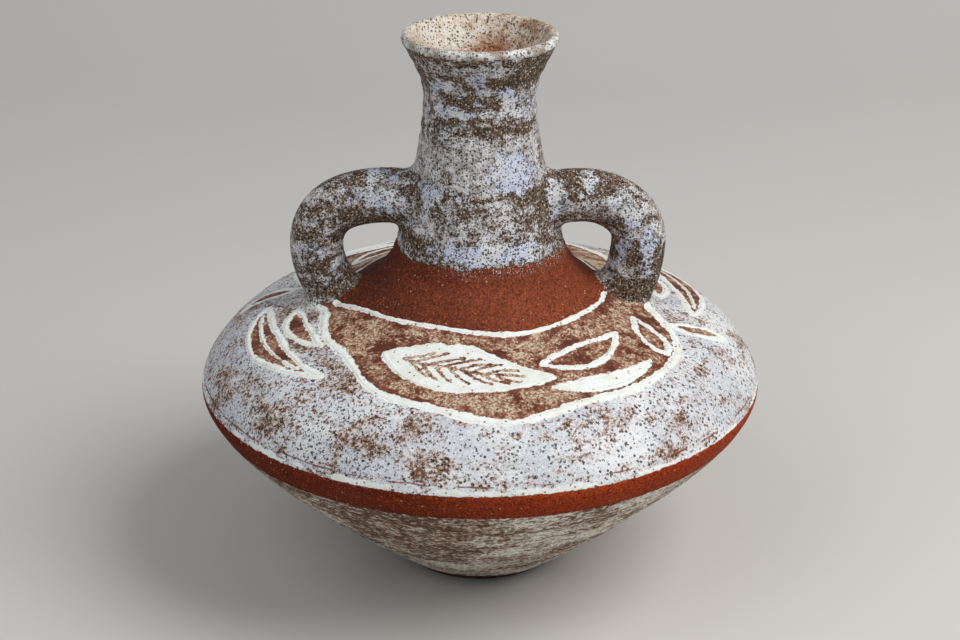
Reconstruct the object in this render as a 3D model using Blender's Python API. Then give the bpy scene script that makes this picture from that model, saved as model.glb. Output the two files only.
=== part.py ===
"""A wide, two-handled earthenware vase, as the clay pieces that a potter lutes together.

Sizes are in metres, +Z is up, and the origin is on the table under the middle of the foot.
The wall is a chain of stations from the base to the lip, each with a radius, a rise above the
one before and the direction in which the wall passes it, joined by Bezier curves whose pulls
are lengths too.
Directions are angles in the (radius, height) plane: 0 is outward, 90 is up, 180 is inward.
"""

from math import cos, exp, pi, radians, sin, sqrt

import bmesh
import bpy
from mathutils import Vector

# Stations of the outer wall: radius, rise and direction, and the pulls of the curves there
BASE_RADIUS = 0.0440
BASE_ANGLE = 35.6
BASE_PULL = 0.0230

BELLY_RADIUS = 0.1400
BELLY_HEIGHT = 0.0988
BELLY_ANGLE = 90.0
BELLY_LOWER_PULL = 0.0180
BELLY_UPPER_PULL = 0.0075

TURN_RADIUS = 0.1105
TURN_RISE = 0.0312
TURN_ANGLE = 164.0
TURN_OUTER_PULL = 0.0165
TURN_INNER_PULL = 0.0300

ROOT_RADIUS = 0.0436
ROOT_RISE = 0.0336
ROOT_ANGLE = 117.0
ROOT_LOWER_PULL = 0.0240
ROOT_UPPER_PULL = 0.0116

WAIST_RADIUS = 0.0268
WAIST_RISE = 0.0799
WAIST_ANGLE = 90.0
WAIST_LOWER_PULL = 0.0210
WAIST_UPPER_PULL = 0.0103

LIP_RADIUS = 0.0374
LIP_RISE = 0.0280
LIP_ANGLE = 59.4
LIP_PULL = 0.0110

TURN_HEIGHT = BELLY_HEIGHT + TURN_RISE
ROOT_HEIGHT = TURN_HEIGHT + ROOT_RISE
WAIST_HEIGHT = ROOT_HEIGHT + WAIST_RISE
LIP_HEIGHT = WAIST_HEIGHT + LIP_RISE

# Walls
BODY_WALL = 0.0065
NECK_WALL = 0.0048
FLOOR_THICKNESS = 0.0080
FLOOR_RADIUS = 0.0260
FLOOR_PULL = 0.0220

# Foot ring
FOOT_HEIGHT = 0.0040
FOOT_RADIUS = 0.0405
FOOT_WIDTH = 0.0072
FOOT_CHAMFER = 0.0008
FOOT_TONGUE_WIDTH = 0.0030
FOOT_TONGUE_HEIGHT = 0.0020

# Joints between the shells, and the coils pressed behind them
JOINT_GAP = 0.0003
SEAM_RIDGE_WIDTH = 0.0034
SEAM_RIDGE_HEIGHT = 0.0022
NECK_STEP = 0.0032
BELLY_COIL_REACH = 0.0075
BELLY_COIL_THICKNESS = 0.0042
NECK_COIL_REACH = 0.0060
NECK_COIL_THICKNESS = 0.0034

# Handles: rolls bent in the XZ plane, from the neck out to their reach and down to the shoulder.
# Their rises are from the root of the neck.
HANDLE_THICKNESS = 0.0275
HANDLE_WIDTH = 0.0248
HANDLE_ROOT_RISE = 0.0272
HANDLE_ARM = 0.0490
HANDLE_ARM_RISE = 0.0290
HANDLE_ARM_PULL = 0.0190
HANDLE_SIDE_RISE = 0.0054
HANDLE_SIDE_UPPER_PULL = 0.0130
HANDLE_SIDE_LOWER_PULL = 0.0100
HANDLE_FOOT_ANGLE = 236.0
HANDLE_FOOT_PULL = 0.0080
HANDLE_NECK_FLARE = 0.0006
HANDLE_FOOT_FLARE = 0.0016
HANDLE_FLARE_LENGTH = 0.0075
HANDLE_REACH_LEFT = 0.0805
HANDLE_REACH_RIGHT = 0.0780
HANDLE_FOOT_RADIUS_LEFT = 0.0715
HANDLE_FOOT_RADIUS_RIGHT = 0.0700
CUT_OVERRUN = 0.0100

# Resolution
SIDES = 48
CONE_STEPS = 9
TURN_STEPS = 6
RISE_STEPS = 7
NECK_STEPS = 6
LIP_STEPS = 5
COIL_STEPS = 4
HANDLE_SIDES = 16
HANDLE_BEND_STEPS = 7
HANDLE_END_STEPS = 5
SHARP_ANGLE = 40.0
MERGE_DISTANCE = 1e-7


def clear_scene():
    for obj in list(bpy.data.objects):
        bpy.data.objects.remove(obj, do_unlink=True)


def clay_material(name, colour, roughness):
    material = bpy.data.materials.new(name)
    material.use_nodes = True
    shader = material.node_tree.nodes["Principled BSDF"]
    shader.inputs["Base Color"].default_value = (*colour, 1.0)
    shader.inputs["Roughness"].default_value = roughness
    shader.inputs["Metallic"].default_value = 0.0
    return material


def along(angle):
    """Unit step in a direction of the (radius, height) plane."""
    return Vector((cos(radians(angle)), sin(radians(angle))))


def inward(angle):
    """Unit step into the wall from a station that the wall passes in this direction."""
    return Vector((-sin(radians(angle)), cos(radians(angle))))


class Station:
    """A point of a wall curve, with the direction in which the curve passes it."""

    def __init__(self, radius, height, angle):
        self.point = Vector((radius, height))
        self.angle = angle

    def moved(self, depth, step=0.0):
        """The same station, set into the wall by depth and on along it by step."""
        point = self.point + depth * inward(self.angle) + step * along(self.angle)
        return Station(point.x, point.y, self.angle)


BASE = Station(BASE_RADIUS, FOOT_HEIGHT, BASE_ANGLE)
BELLY = Station(BELLY_RADIUS, BELLY_HEIGHT, BELLY_ANGLE)
TURN = Station(TURN_RADIUS, TURN_HEIGHT, TURN_ANGLE)
ROOT = Station(ROOT_RADIUS, ROOT_HEIGHT, ROOT_ANGLE)
WAIST = Station(WAIST_RADIUS, WAIST_HEIGHT, WAIST_ANGLE)
LIP = Station(LIP_RADIUS, LIP_HEIGHT, LIP_ANGLE)


def curve(start, start_pull, end, end_pull, steps):
    """Points of the Bezier curve from one station to the next, both ends included."""
    first = start.point
    second = first + start_pull * along(start.angle)
    fourth = end.point
    third = fourth - end_pull * along(end.angle)
    points = []
    for index in range(steps + 1):
        t = index / steps
        u = 1.0 - t
        points.append(u**3 * first + 3 * u * u * t * second + 3 * u * t * t * third + t**3 * fourth)
    return points


def joined(*stretches):
    """One list of points from several that meet end to end."""
    points = list(stretches[0])
    for stretch in stretches[1:]:
        points.extend(stretch[1:])
    return points


def shifted(points, distance):
    """The polyline moved sideways into the wall by distance, corner by corner."""
    moved = []
    for index, point in enumerate(points):
        before = points[max(index - 1, 0)]
        after = points[min(index + 1, len(points) - 1)]
        way = (after - before).normalized()
        moved.append(point + distance * Vector((-way.y, way.x)))
    return moved


def cone_outside():
    return curve(BASE, BASE_PULL, BELLY, BELLY_LOWER_PULL, CONE_STEPS)


def shoulder_outside():
    turn = curve(BELLY, BELLY_UPPER_PULL, TURN, TURN_OUTER_PULL, TURN_STEPS)
    rise = curve(TURN, TURN_INNER_PULL, ROOT, ROOT_LOWER_PULL, RISE_STEPS)
    return joined(turn, rise)


def neck_outside():
    rise = curve(ROOT, ROOT_UPPER_PULL, WAIST, WAIST_LOWER_PULL, NECK_STEPS)
    flare = curve(WAIST, WAIST_UPPER_PULL, LIP, LIP_PULL, NECK_STEPS)
    return joined(rise, flare)


def cone_inside():
    """From the middle of the floor out and up to the belly seam."""
    floor = Station(FLOOR_RADIUS, FOOT_HEIGHT + FLOOR_THICKNESS, 0.0)
    rise = curve(floor, FLOOR_PULL, BELLY.moved(BODY_WALL), BELLY_LOWER_PULL, CONE_STEPS)
    return [Vector((0.0, floor.point.y)), *rise]


def shoulder_inside():
    """From the belly seam up to the rebate for the neck."""
    belly = BELLY.moved(BODY_WALL)
    turn = TURN.moved(BODY_WALL)
    rebate = ROOT.moved(NECK_WALL, -NECK_STEP)
    low = curve(belly, BELLY_UPPER_PULL, turn, TURN_OUTER_PULL, TURN_STEPS)
    high = curve(turn, TURN_INNER_PULL, rebate, ROOT_LOWER_PULL, RISE_STEPS)
    return joined(low, high)


def neck_inside():
    """From the foot of the neck's tenon up to the inner edge of the lip."""
    tenon = ROOT.moved(NECK_WALL, JOINT_GAP - NECK_STEP)
    root = ROOT.moved(NECK_WALL)
    waist = WAIST.moved(NECK_WALL)
    lip = LIP.moved(NECK_WALL)
    rise = curve(root, ROOT_UPPER_PULL, waist, WAIST_LOWER_PULL, NECK_STEPS)
    flare = curve(waist, WAIST_UPPER_PULL, lip, LIP_PULL, NECK_STEPS)
    return [tenon.point, *joined(rise, flare)]


def lip_round():
    """The rolled edge between the outside and the inside of the neck, its two ends left out."""
    radius = NECK_WALL / 2
    middle = LIP.moved(radius).point
    points = []
    for index in range(1, LIP_STEPS):
        turn = LIP_ANGLE - 90.0 + 180.0 * index / LIP_STEPS
        points.append(middle + radius * along(turn))
    return points


def ridge_points(clearance):
    """The belly seam's V from outside to inside: the bowl's rim, or with a clearance what fits over it."""
    slope = SEAM_RIDGE_HEIGHT / (SEAM_RIDGE_WIDTH / 2)
    tip = SEAM_RIDGE_HEIGHT + clearance * sqrt(1 + slope * slope)
    half_width = (tip - clearance) / slope
    middle = BODY_WALL / 2
    depths = (0.0, middle - half_width, middle, middle + half_width, BODY_WALL)
    steps = (clearance, clearance, tip, clearance, clearance)
    return [BELLY.moved(depth, step).point for depth, step in zip(depths, steps)]


def rebate_points():
    """The shoulder's mouth from outside to inside: a step that the neck's tenon drops into."""
    half = NECK_WALL / 2 - JOINT_GAP
    depths = (0.0, half, half, NECK_WALL)
    steps = (0.0, 0.0, -NECK_STEP, -NECK_STEP)
    return [ROOT.moved(depth, step).point for depth, step in zip(depths, steps)]


def tenon_points():
    """The neck's foot from outside to inside, one gap clear of the shoulder's rebate."""
    half = NECK_WALL / 2
    low = JOINT_GAP - NECK_STEP
    depths = (0.0, half, half, NECK_WALL)
    steps = (JOINT_GAP, JOINT_GAP, low, low)
    return [ROOT.moved(depth, step).point for depth, step in zip(depths, steps)]


def revolve(name, outline, material):
    """A closed solid turned from an outline of (radius, height) points about the Z axis."""
    mesh = bpy.data.meshes.new(name)
    shape = bmesh.new()
    ring = [shape.verts.new((point.x, 0.0, point.y)) for point in outline]
    on_axis = outline[0].x < MERGE_DISTANCE and outline[-1].x < MERGE_DISTANCE
    count = len(ring) - 1 if on_axis else len(ring)
    edges = [shape.edges.new((ring[i], ring[(i + 1) % len(ring)])) for i in range(count)]
    bmesh.ops.spin(
        shape,
        geom=ring + edges,
        cent=(0.0, 0.0, 0.0),
        axis=(0.0, 0.0, 1.0),
        angle=2 * pi,
        steps=SIDES,
        use_merge=True,
    )
    bmesh.ops.remove_doubles(shape, verts=shape.verts, dist=MERGE_DISTANCE)
    return finished(shape, mesh, name, material)


def finished(shape, mesh, name, material):
    """The bmesh as a smooth-shaded object with its faces pointing out."""
    bmesh.ops.recalc_face_normals(shape, faces=shape.faces)
    shape.to_mesh(mesh)
    shape.free()
    mesh.shade_smooth()
    mesh.set_sharp_from_angle(angle=radians(SHARP_ANGLE))
    mesh.materials.append(material)
    obj = bpy.data.objects.new(name, mesh)
    bpy.context.scene.collection.objects.link(obj)
    return obj


def foot_ring():
    outer = FOOT_RADIUS
    inner = FOOT_RADIUS - FOOT_WIDTH
    middle = FOOT_RADIUS - FOOT_WIDTH / 2
    half_tongue = FOOT_TONGUE_WIDTH / 2
    seat = FOOT_HEIGHT - JOINT_GAP
    tip = seat + FOOT_TONGUE_HEIGHT
    outline = (
        (inner + FOOT_CHAMFER, 0.0),
        (outer - FOOT_CHAMFER, 0.0),
        (outer, FOOT_CHAMFER),
        (outer, seat),
        (middle + half_tongue, seat),
        (middle + half_tongue, tip),
        (middle - half_tongue, tip),
        (middle - half_tongue, seat),
        (inner, seat),
        (inner, FOOT_CHAMFER),
    )
    dark_clay = clay_material("dark_clay", (0.055, 0.040, 0.032), 0.85)
    return revolve("foot_ring", [Vector(point) for point in outline], dark_clay)


def lower_bowl():
    middle = FOOT_RADIUS - FOOT_WIDTH / 2
    half_groove = FOOT_TONGUE_WIDTH / 2 + JOINT_GAP
    roof = FOOT_HEIGHT + FOOT_TONGUE_HEIGHT
    underside = (
        (0.0, FOOT_HEIGHT),
        (middle - half_groove, FOOT_HEIGHT),
        (middle - half_groove, roof),
        (middle + half_groove, roof),
        (middle + half_groove, FOOT_HEIGHT),
    )
    outline = [Vector(point) for point in underside]
    outline += cone_outside()
    outline += ridge_points(0.0)[1:-1]
    outline += reversed(cone_inside())
    streaked_glaze = clay_material("streaked_glaze", (0.300, 0.262, 0.235), 0.55)
    return revolve("lower_bowl", outline, streaked_glaze)


def shoulder():
    outside = shoulder_outside()
    groove = ridge_points(JOINT_GAP)
    outline = outside[1:-1] + rebate_points()
    outline += list(reversed(shoulder_inside()))[1:-1]
    outline += reversed(groove)
    speckled_glaze = clay_material("speckled_glaze", (0.560, 0.550, 0.600), 0.45)
    return revolve("shoulder", outline, speckled_glaze)


def neck():
    outline = neck_outside()[1:]
    outline += lip_round()
    outline += list(reversed(neck_inside()))[:-1]
    outline += reversed(tenon_points())
    dark_glaze = clay_material("dark_glaze", (0.135, 0.110, 0.095), 0.42)
    return revolve("neck", outline, dark_glaze)


def between_heights(points, low, high):
    """The part of a rising polyline between two heights, with a point set at each."""
    cut = []
    for before, after in zip(points, points[1:]):
        for height in (low, high):
            if before.y < height <= after.y:
                cut.append(before.lerp(after, (height - before.y) / (after.y - before.y)))
        if low < after.y < high:
            cut.append(after)
    return sorted(cut, key=lambda point: point.y)


def seam_coil(name, wall, reach, height, thickness, material):
    """A flattened coil on the inside of the wall, over the seam at this height."""
    back = shifted(between_heights(wall, height - reach, height + reach), JOINT_GAP)
    low = back[0]
    high = back[-1]
    middle = (low + high) / 2
    half = (high - low) / 2
    inside = Vector((-half.y, half.x)).normalized()
    outline = list(back)
    for index in range(1, 2 * COIL_STEPS):
        turn = pi * index / (2 * COIL_STEPS)
        outline.append(middle + half * cos(turn) + inside * thickness * sin(turn))
    return revolve(name, outline, material)


def seam_coils():
    raw_clay = clay_material("raw_clay", (0.420, 0.300, 0.200), 0.80)
    whole_wall = joined(cone_inside(), shoulder_inside())
    seam_coil(
        "belly_seam_coil", whole_wall, BELLY_COIL_REACH, BELLY_HEIGHT, BELLY_COIL_THICKNESS, raw_clay
    )
    root_wall = shoulder_inside() + neck_inside()
    root_height = ROOT.moved(NECK_WALL, -NECK_STEP).point.y
    seam_coil(
        "neck_seam_coil", root_wall, NECK_COIL_REACH, root_height, NECK_COIL_THICKNESS, raw_clay
    )


def body_envelope():
    """Everything inside the outer wall and one gap more, which shapes the ends of the handles."""
    wall = joined(cone_outside(), shoulder_outside(), neck_outside())
    skin = shifted(wall, -JOINT_GAP)
    outline = [Vector((0.0, skin[0].y)), *skin, Vector((0.0, skin[-1].y))]
    cutter = revolve("body_envelope", outline, clay_material("envelope", (0.5, 0.5, 0.5), 0.5))
    cutter.hide_render = True
    cutter.display_type = "WIRE"
    return cutter


def wall_height(radius):
    """Height of the shoulder's outside at this radius."""
    points = shoulder_outside()
    for lower, upper in zip(points, points[1:]):
        if upper.x <= radius <= lower.x and upper.x < lower.x:
            return lower.lerp(upper, (lower.x - radius) / (lower.x - upper.x)).y
    return points[-1].y


def handle_path(reach, foot_radius):
    """Middle line of a handle as (distance out, height), from inside the neck to inside the shoulder."""
    start = Station(WAIST_RADIUS - CUT_OVERRUN, ROOT_HEIGHT + HANDLE_ROOT_RISE, 0.0)
    arm = Station(HANDLE_ARM, ROOT_HEIGHT + HANDLE_ARM_RISE, 0.0)
    side = Station(reach, ROOT_HEIGHT + HANDLE_SIDE_RISE, 270.0)
    foot = Station(foot_radius, wall_height(foot_radius), HANDLE_FOOT_ANGLE)
    end = foot.moved(0.0, CUT_OVERRUN)
    third = (arm.point - start.point).length / 3
    out = curve(start, third, arm, third, HANDLE_END_STEPS)
    bend = curve(arm, HANDLE_ARM_PULL, side, HANDLE_SIDE_UPPER_PULL, HANDLE_BEND_STEPS)
    down = curve(side, HANDLE_SIDE_LOWER_PULL, foot, HANDLE_FOOT_PULL, HANDLE_END_STEPS)
    return joined(out, bend, down, [foot.point, foot.point.lerp(end.point, 1 / 2), end.point])


def neck_radius(height):
    """Radius of the neck's outside at this height, below the waist."""
    points = neck_outside()
    for lower, upper in zip(points, points[1:]):
        if lower.y <= height <= upper.y:
            return lower.lerp(upper, (height - lower.y) / (upper.y - lower.y)).x
    return points[0].x


def root_flare(point, foot_radius):
    """How much a handle swells here, towards the two places where it lands."""
    height = ROOT_HEIGHT + HANDLE_ROOT_RISE
    on_neck = Vector((neck_radius(height), height))
    on_shoulder = Vector((foot_radius, wall_height(foot_radius)))
    at_neck = exp(-(((point - on_neck).length / HANDLE_FLARE_LENGTH) ** 2))
    at_foot = exp(-(((point - on_shoulder).length / HANDLE_FLARE_LENGTH) ** 2))
    return HANDLE_NECK_FLARE * at_neck + HANDLE_FOOT_FLARE * at_foot


def handle(name, side, reach, foot_radius, cutter, material):
    """A thick roll swept along its middle line, flared at both roots and cut to the wall."""
    path = handle_path(reach, foot_radius)
    shape = bmesh.new()
    rings = []
    for index, point in enumerate(path):
        before = path[max(index - 1, 0)]
        after = path[min(index + 1, len(path) - 1)]
        way = (after - before).normalized()
        across = Vector((-way.y, way.x))
        flare = root_flare(point, foot_radius)
        ring = []
        for corner in range(HANDLE_SIDES):
            turn = 2 * pi * corner / HANDLE_SIDES
            place = point + across * (HANDLE_THICKNESS / 2 + flare) * cos(turn)
            depth = (HANDLE_WIDTH / 2 + flare) * sin(turn)
            ring.append(shape.verts.new((side * place.x, depth, place.y)))
        rings.append(ring)
    for ring, following in zip(rings, rings[1:]):
        for corner in range(HANDLE_SIDES):
            beside = (corner + 1) % HANDLE_SIDES
            shape.faces.new((ring[corner], ring[beside], following[beside], following[corner]))
    shape.faces.new(rings[0])
    shape.faces.new(rings[-1])
    obj = finished(shape, bpy.data.meshes.new(name), name, material)
    cut = obj.modifiers.new("seat on the wall", "BOOLEAN")
    cut.operation = "DIFFERENCE"
    cut.solver = "EXACT"
    cut.object = cutter
    return obj


def handles():
    cutter = body_envelope()
    glaze = clay_material("handle_glaze", (0.120, 0.098, 0.086), 0.42)
    handle("handle_left", -1, HANDLE_REACH_LEFT, HANDLE_FOOT_RADIUS_LEFT, cutter, glaze)
    handle("handle_right", 1, HANDLE_REACH_RIGHT, HANDLE_FOOT_RADIUS_RIGHT, cutter, glaze)


def main():
    clear_scene()
    foot_ring()
    lower_bowl()
    shoulder()
    neck()
    seam_coils()
    handles()


main()
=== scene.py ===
"""The looks of a two-handled earthenware vase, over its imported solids.

Lengths are in metres unless a name ends in _mm or _MM, or a comment says millimetres. Azimuth is
measured round Z from the front (-Y), towards +X. The outer wall is one profile from the foot to
the lip, and a point on it is given by its azimuth and its arc, the length along that profile.
"""

from collections import namedtuple

import bpy
import numpy as np
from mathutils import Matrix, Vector
from mathutils.kdtree import KDTree


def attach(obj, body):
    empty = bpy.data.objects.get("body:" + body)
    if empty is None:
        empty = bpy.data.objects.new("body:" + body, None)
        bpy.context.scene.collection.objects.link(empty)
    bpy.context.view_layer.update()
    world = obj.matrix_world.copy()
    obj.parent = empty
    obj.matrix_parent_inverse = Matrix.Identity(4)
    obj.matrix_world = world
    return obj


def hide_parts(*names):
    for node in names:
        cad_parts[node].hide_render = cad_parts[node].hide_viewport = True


MM = 0.001
FAR_MM = 9.0
BAKE_MAP = "OFBake"
SEED_SHIFT = (0.37, 0.91, 0.53)

# Dry rust lines over the cream line: height over the lowest in millimetres, and how broken
SCRATCH_LINES = ((0.0, 0.46), (1.5, 0.55), (2.8, 0.60))

# Rust slip, plain, bright and on the belt: its screen colours on the left and on the right, the left
# darker as painted shade
RUST_SHADED_LEFT_LIT_RIGHT = (
    ((92, 37, 22), (139, 62, 35)),
    ((116, 48, 27), (155, 72, 41)),
    ((104, 35, 12), (172, 54, 12)),
)

# Camera and lights, each light as name, place, size, power and colour
CAMERA_PLACE = (0.0, -0.9559, 0.5361)
CAMERA_TILT = 66.797
CAMERA_LENS = 77.62
SENSOR_WIDTH = 36.0
SKY = (236, 238, 244)
SKY_POWER = 0.36
LIGHT_AIM = (0.0, 0.0, 0.12)
LIGHTS = (
    ("key", (1.1, -0.5, 1.5), 1.3, 27.0, (1.0, 0.98, 0.95)),
    ("fill", (-1.0, -0.9, 1.6), 1.4, 7.5, (0.95, 0.97, 1.0)),
)

# The pale floor: its reach to the front, the back, the sides and up, and the bend between
SWEEP_FRONT = 3.0
SWEEP_BACK = 1.6
SWEEP_SIDE = 4.0
SWEEP_TOP = 2.6
SWEEP_BEND = 0.8

# The wall's stations, as the solids have them: radius, height and direction
BASE = (0.0440, 0.0040, 35.6)
BELLY = (0.1400, 0.0988, 90.0)
TURN = (0.1105, 0.1300, 164.0)
ROOT = (0.0436, 0.1636, 117.0)
WAIST = (0.0268, 0.2435, 90.0)
LIP = (0.0374, 0.2715, 59.4)
CAD_TOP = 0.27506
BASE_PULL = 0.0230
BELLY_PULLS = (0.0180, 0.0075)
TURN_PULLS = (0.0165, 0.0300)
ROOT_PULLS = (0.0240, 0.0116)
WAIST_PULLS = (0.0210, 0.0103)
LIP_PULL = 0.0110
CONE_RUN = (BASE, BASE_PULL, BELLY, BELLY_PULLS[0])
BELLY_RUN = (BELLY, BELLY_PULLS[1], TURN, TURN_PULLS[0])
TURN_RUN = (TURN, TURN_PULLS[1], ROOT, ROOT_PULLS[0])
NECK_RUNS = ((ROOT, ROOT_PULLS[1], WAIST, WAIST_PULLS[0]), (WAIST, WAIST_PULLS[1], LIP, LIP_PULL))
BODY_WALL = 0.0065
NECK_WALL = 0.0048
NECK_STEP = 0.0032
FLOOR_HEIGHT = 0.0120
FLOOR_RADIUS = 0.0260
FLOOR_PULL = 0.0220
FLOOR_RINGS = (0.018, 0.010, 0.004)
UNDER_RINGS = (0.004, 0.012, 0.022, 0.034, 0.0425)
FINE = 400

# Foot ring
FOOT_RADIUS = 0.0405
FOOT_WIDTH = 0.0072
FOOT_HEIGHT = 0.0040
FOOT_ROUND = 0.0012
FOOT_TONGUE = 0.0002

# Handles, as the solids have them
HANDLE_HALF_THICKNESS = 0.01375
HANDLE_HALF_WIDTH = 0.0124
HANDLE_START = (0.0168, 0.1908)
HANDLE_ARM = (0.0490, 0.1926)
HANDLE_ARM_PULL = 0.0190
HANDLE_SIDE_HEIGHT = 0.1690
HANDLE_SIDE_PULLS = (0.0130, 0.0100)
HANDLE_FOOT_ANGLE = 236.0
HANDLE_FOOT_PULL = 0.0080
HANDLE_DIP = 0.0200
LEFT = {"side": -1, "reach": 0.0805, "foot": 0.0715, "flare_in": 0.0050, "flare_out": 0.0050}
RIGHT = {"side": 1, "reach": 0.0780, "foot": 0.0700, "flare_in": 0.0075, "flare_out": 0.0010}

# Where the handles are smoothed out onto the walls, and the edge of their glaze
FILLET_AT_NECK = 0.0060
FILLET_AT_FOOT = 0.0040
FILLET_LIFT = -0.05 * MM
FILLET_SUNK = 1.2 * MM
FAR_FROM_FOOT_MM = 60.0
HANDLE_GLAZE_EDGE_MM = 0.7

# Resolution, and the angle over which an edge stays sharp
BODY_SIDES = 640
CONE_SIDES = 480
NECK_SIDES = 320
OUTER_STEP = 1.3 * MM
FRIEZE_STEP = 0.85 * MM
INNER_STEP = 6.0 * MM
NECK_INNER_STEP = 1.6 * MM
HANDLE_STEP = 0.5 * MM
HANDLE_SIDES = 96
HANDLE_ROWS = 110
FILLET_ROWS = 9
SHARP_ANGLE = 50.0

# Radii on the round maps of the bowl and the shoulder, and heights on the neck's square map
UNDER_MAP = (0.205, 0.235)
CONE_MAP = (0.240, 0.495)
CONE_LINING_MAP = (0.195, 0.060)
FLOOR_MAP = (0.045, 0.030, 0.015)
CONE_EDGE_MAP = (0.200, 0.195)
UNDER_FAN_MAP = (0.202, 0.205)
FLOOR_FAN_MAP = (0.0, 0.015)
SHOULDER_MAP = (0.495, 0.130)
LINING_MAP = (0.122, 0.040)
LINING_EDGE_MAP = (0.036, 0.030)
NECK_MAP = (0.002, 0.986, 0.998)

# Zones of the outer wall, as heights
BELT_LOW = 0.0858
BELT_HIGH = 0.1004
CREAM_HIGH = 0.1032
SCRATCH_HEIGHT = 0.1045
FRIEZE_LOW = 0.1180
BELT_SHADE = (0.1030, 0.1010)
BELT_EDGE = (0.0890, 0.0864)
GLAZE_EDGE = 0.1700
THICK_GLAZE = (0.2110, 0.2340)
THIN_GLAZE = (0.1920, 0.2090)
UNDER_LIP = (0.245, 0.262)

# How far the white of the lip and the glaze of the mouth reach past their edges
LIP_OVERLAP_MM = 0.3
MOUTH_OVERLAP_MM = 2.6


def bezier(start, second, third, end, count):
    t = np.linspace(0.0, 1.0, count)[:, None]
    u = 1.0 - t
    start, second, third, end = (np.asarray(p, float) for p in (start, second, third, end))
    return u**3 * start + 3 * u * u * t * second + 3 * u * t * t * third + t**3 * end


def along(angle):
    return np.array([np.cos(np.radians(angle)), np.sin(np.radians(angle))])


def inward(angle):
    return np.array([-np.sin(np.radians(angle)), np.cos(np.radians(angle))])


def stretch(start, start_pull, end, end_pull, depth=(0.0, 0.0)):
    """The wall curve between two stations, each set into the wall by its depth."""
    first = np.array(start[:2]) + depth[0] * inward(start[2])
    last = np.array(end[:2]) + depth[1] * inward(end[2])
    second = first + start_pull * along(start[2])
    third = last - end_pull * along(end[2])
    return bezier(first, second, third, last, FINE)


def joined(*parts):
    return np.concatenate([parts[0]] + [part[1:] for part in parts[1:]])


def arcs(points):
    return np.concatenate([[0.0], np.cumsum(np.linalg.norm(np.diff(points, axis=0), axis=1))])


def resampled(points, step):
    """The polyline with its points spaced evenly, about one step apart."""
    arc = arcs(points)
    at = np.linspace(0.0, arc[-1], max(int(round(arc[-1] / step)), 2) + 1)
    return np.stack([np.interp(at, arc, points[:, k]) for k in (0, 1)], 1)


def lip_round():
    """The rolled edge of the mouth, from the outer wall over to the inner."""
    middle = np.array(LIP[:2]) + NECK_WALL / 2 * inward(LIP[2])
    turns = np.linspace(LIP[2] - 90.0, LIP[2] + 90.0, 60)
    return np.array([middle + NECK_WALL / 2 * along(turn) for turn in turns])


CONE = stretch(*CONE_RUN)
SHOULDER = joined(stretch(*BELLY_RUN), stretch(*TURN_RUN))
NECK = joined(*(stretch(*run) for run in NECK_RUNS))
WALL = joined(CONE, SHOULDER, NECK, lip_round())
WALL_ARC = arcs(WALL)
BELLY_ARC = arcs(CONE)[-1]
ROOT_ARC = BELLY_ARC + arcs(SHOULDER)[-1]
LIP_ARC = ROOT_ARC + arcs(NECK)[-1]
TOP_ARC = WALL_ARC[-1]


def wall_at(arc):
    """Radius, height and outward normal (radial, vertical) of the outer wall at an arc."""

    def at(place):
        place = np.clip(place, 0.0, TOP_ARC)
        return np.array([np.interp(place, WALL_ARC, WALL[:, k]) for k in (0, 1)])

    small = 0.5 * MM
    arc = np.clip(arc, 0.0, TOP_ARC)
    run, rise = at(arc + small) - at(arc - small)
    length = np.hypot(run, rise)
    return *at(arc), rise / length, -run / length


def arc_at_radius(radius):
    """Arc of the shoulder's top where it has this radius."""
    points = SHOULDER[::-1]
    return ROOT_ARC - np.interp(radius, points[:, 0], arcs(points))


def unit(ways):
    return ways / np.linalg.norm(ways, axis=1)[:, None]


def polar(points):
    """Azimuth, radius and height of each point."""
    x, y, z = points.T
    return np.arctan2(x, -y), np.hypot(x, y), z


def swayed(turn, middle, waves):
    """A level that rises and falls round a turn, from each wave's number, size and phase."""
    for number, size, phase in waves:
        middle = middle + size * np.sin(number * turn + phase)
    return middle


def smooth(value, low, high):
    t = np.clip((value - low) / (high - low), 0.0, 1.0)
    return t * t * (3.0 - 2.0 * t)


def bell(value, width):
    return np.exp(-((value / width) ** 2))


# The hand of the potter: waves round and along the wall, the same for every piece
WOBBLE = np.random.default_rng(11)


def drawn(count, turns, pitch, least, most):
    """Waves as turns round the wall, pitch along it, phase and size, the sizes in millimetres."""
    return [
        (
            WOBBLE.integers(*turns),
            pitch(),
            WOBBLE.uniform(0.0, 2 * np.pi),
            WOBBLE.uniform(least, most) * MM,
        )
        for _ in range(count)
    ]


WAVES = drawn(14, (1, 8), lambda: WOBBLE.uniform(-40.0, 40.0), 0.03, 0.09)
WAVES += drawn(8, (0, 3), lambda: 2 * np.pi / WOBBLE.uniform(7.0, 15.0) / MM, 0.03, 0.07)
GLAZE_THICKNESS = 0.35 * MM
GLAZE_EDGE_WAVES = ((3, 0.5 * MM, 0.8), (8, 0.4 * MM, 0.0))
THROWING_PITCH = 1.7 * MM
THROWING_HEIGHT = 0.08 * MM
THROWING_BEAT = 61.0
BELLY_CALM = 0.012
LIP_CALM = 0.010
RINGS_FROM_ROOT = (0.004, 0.016)
RINGS_FROM_LIP = (0.002, 0.016)


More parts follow.
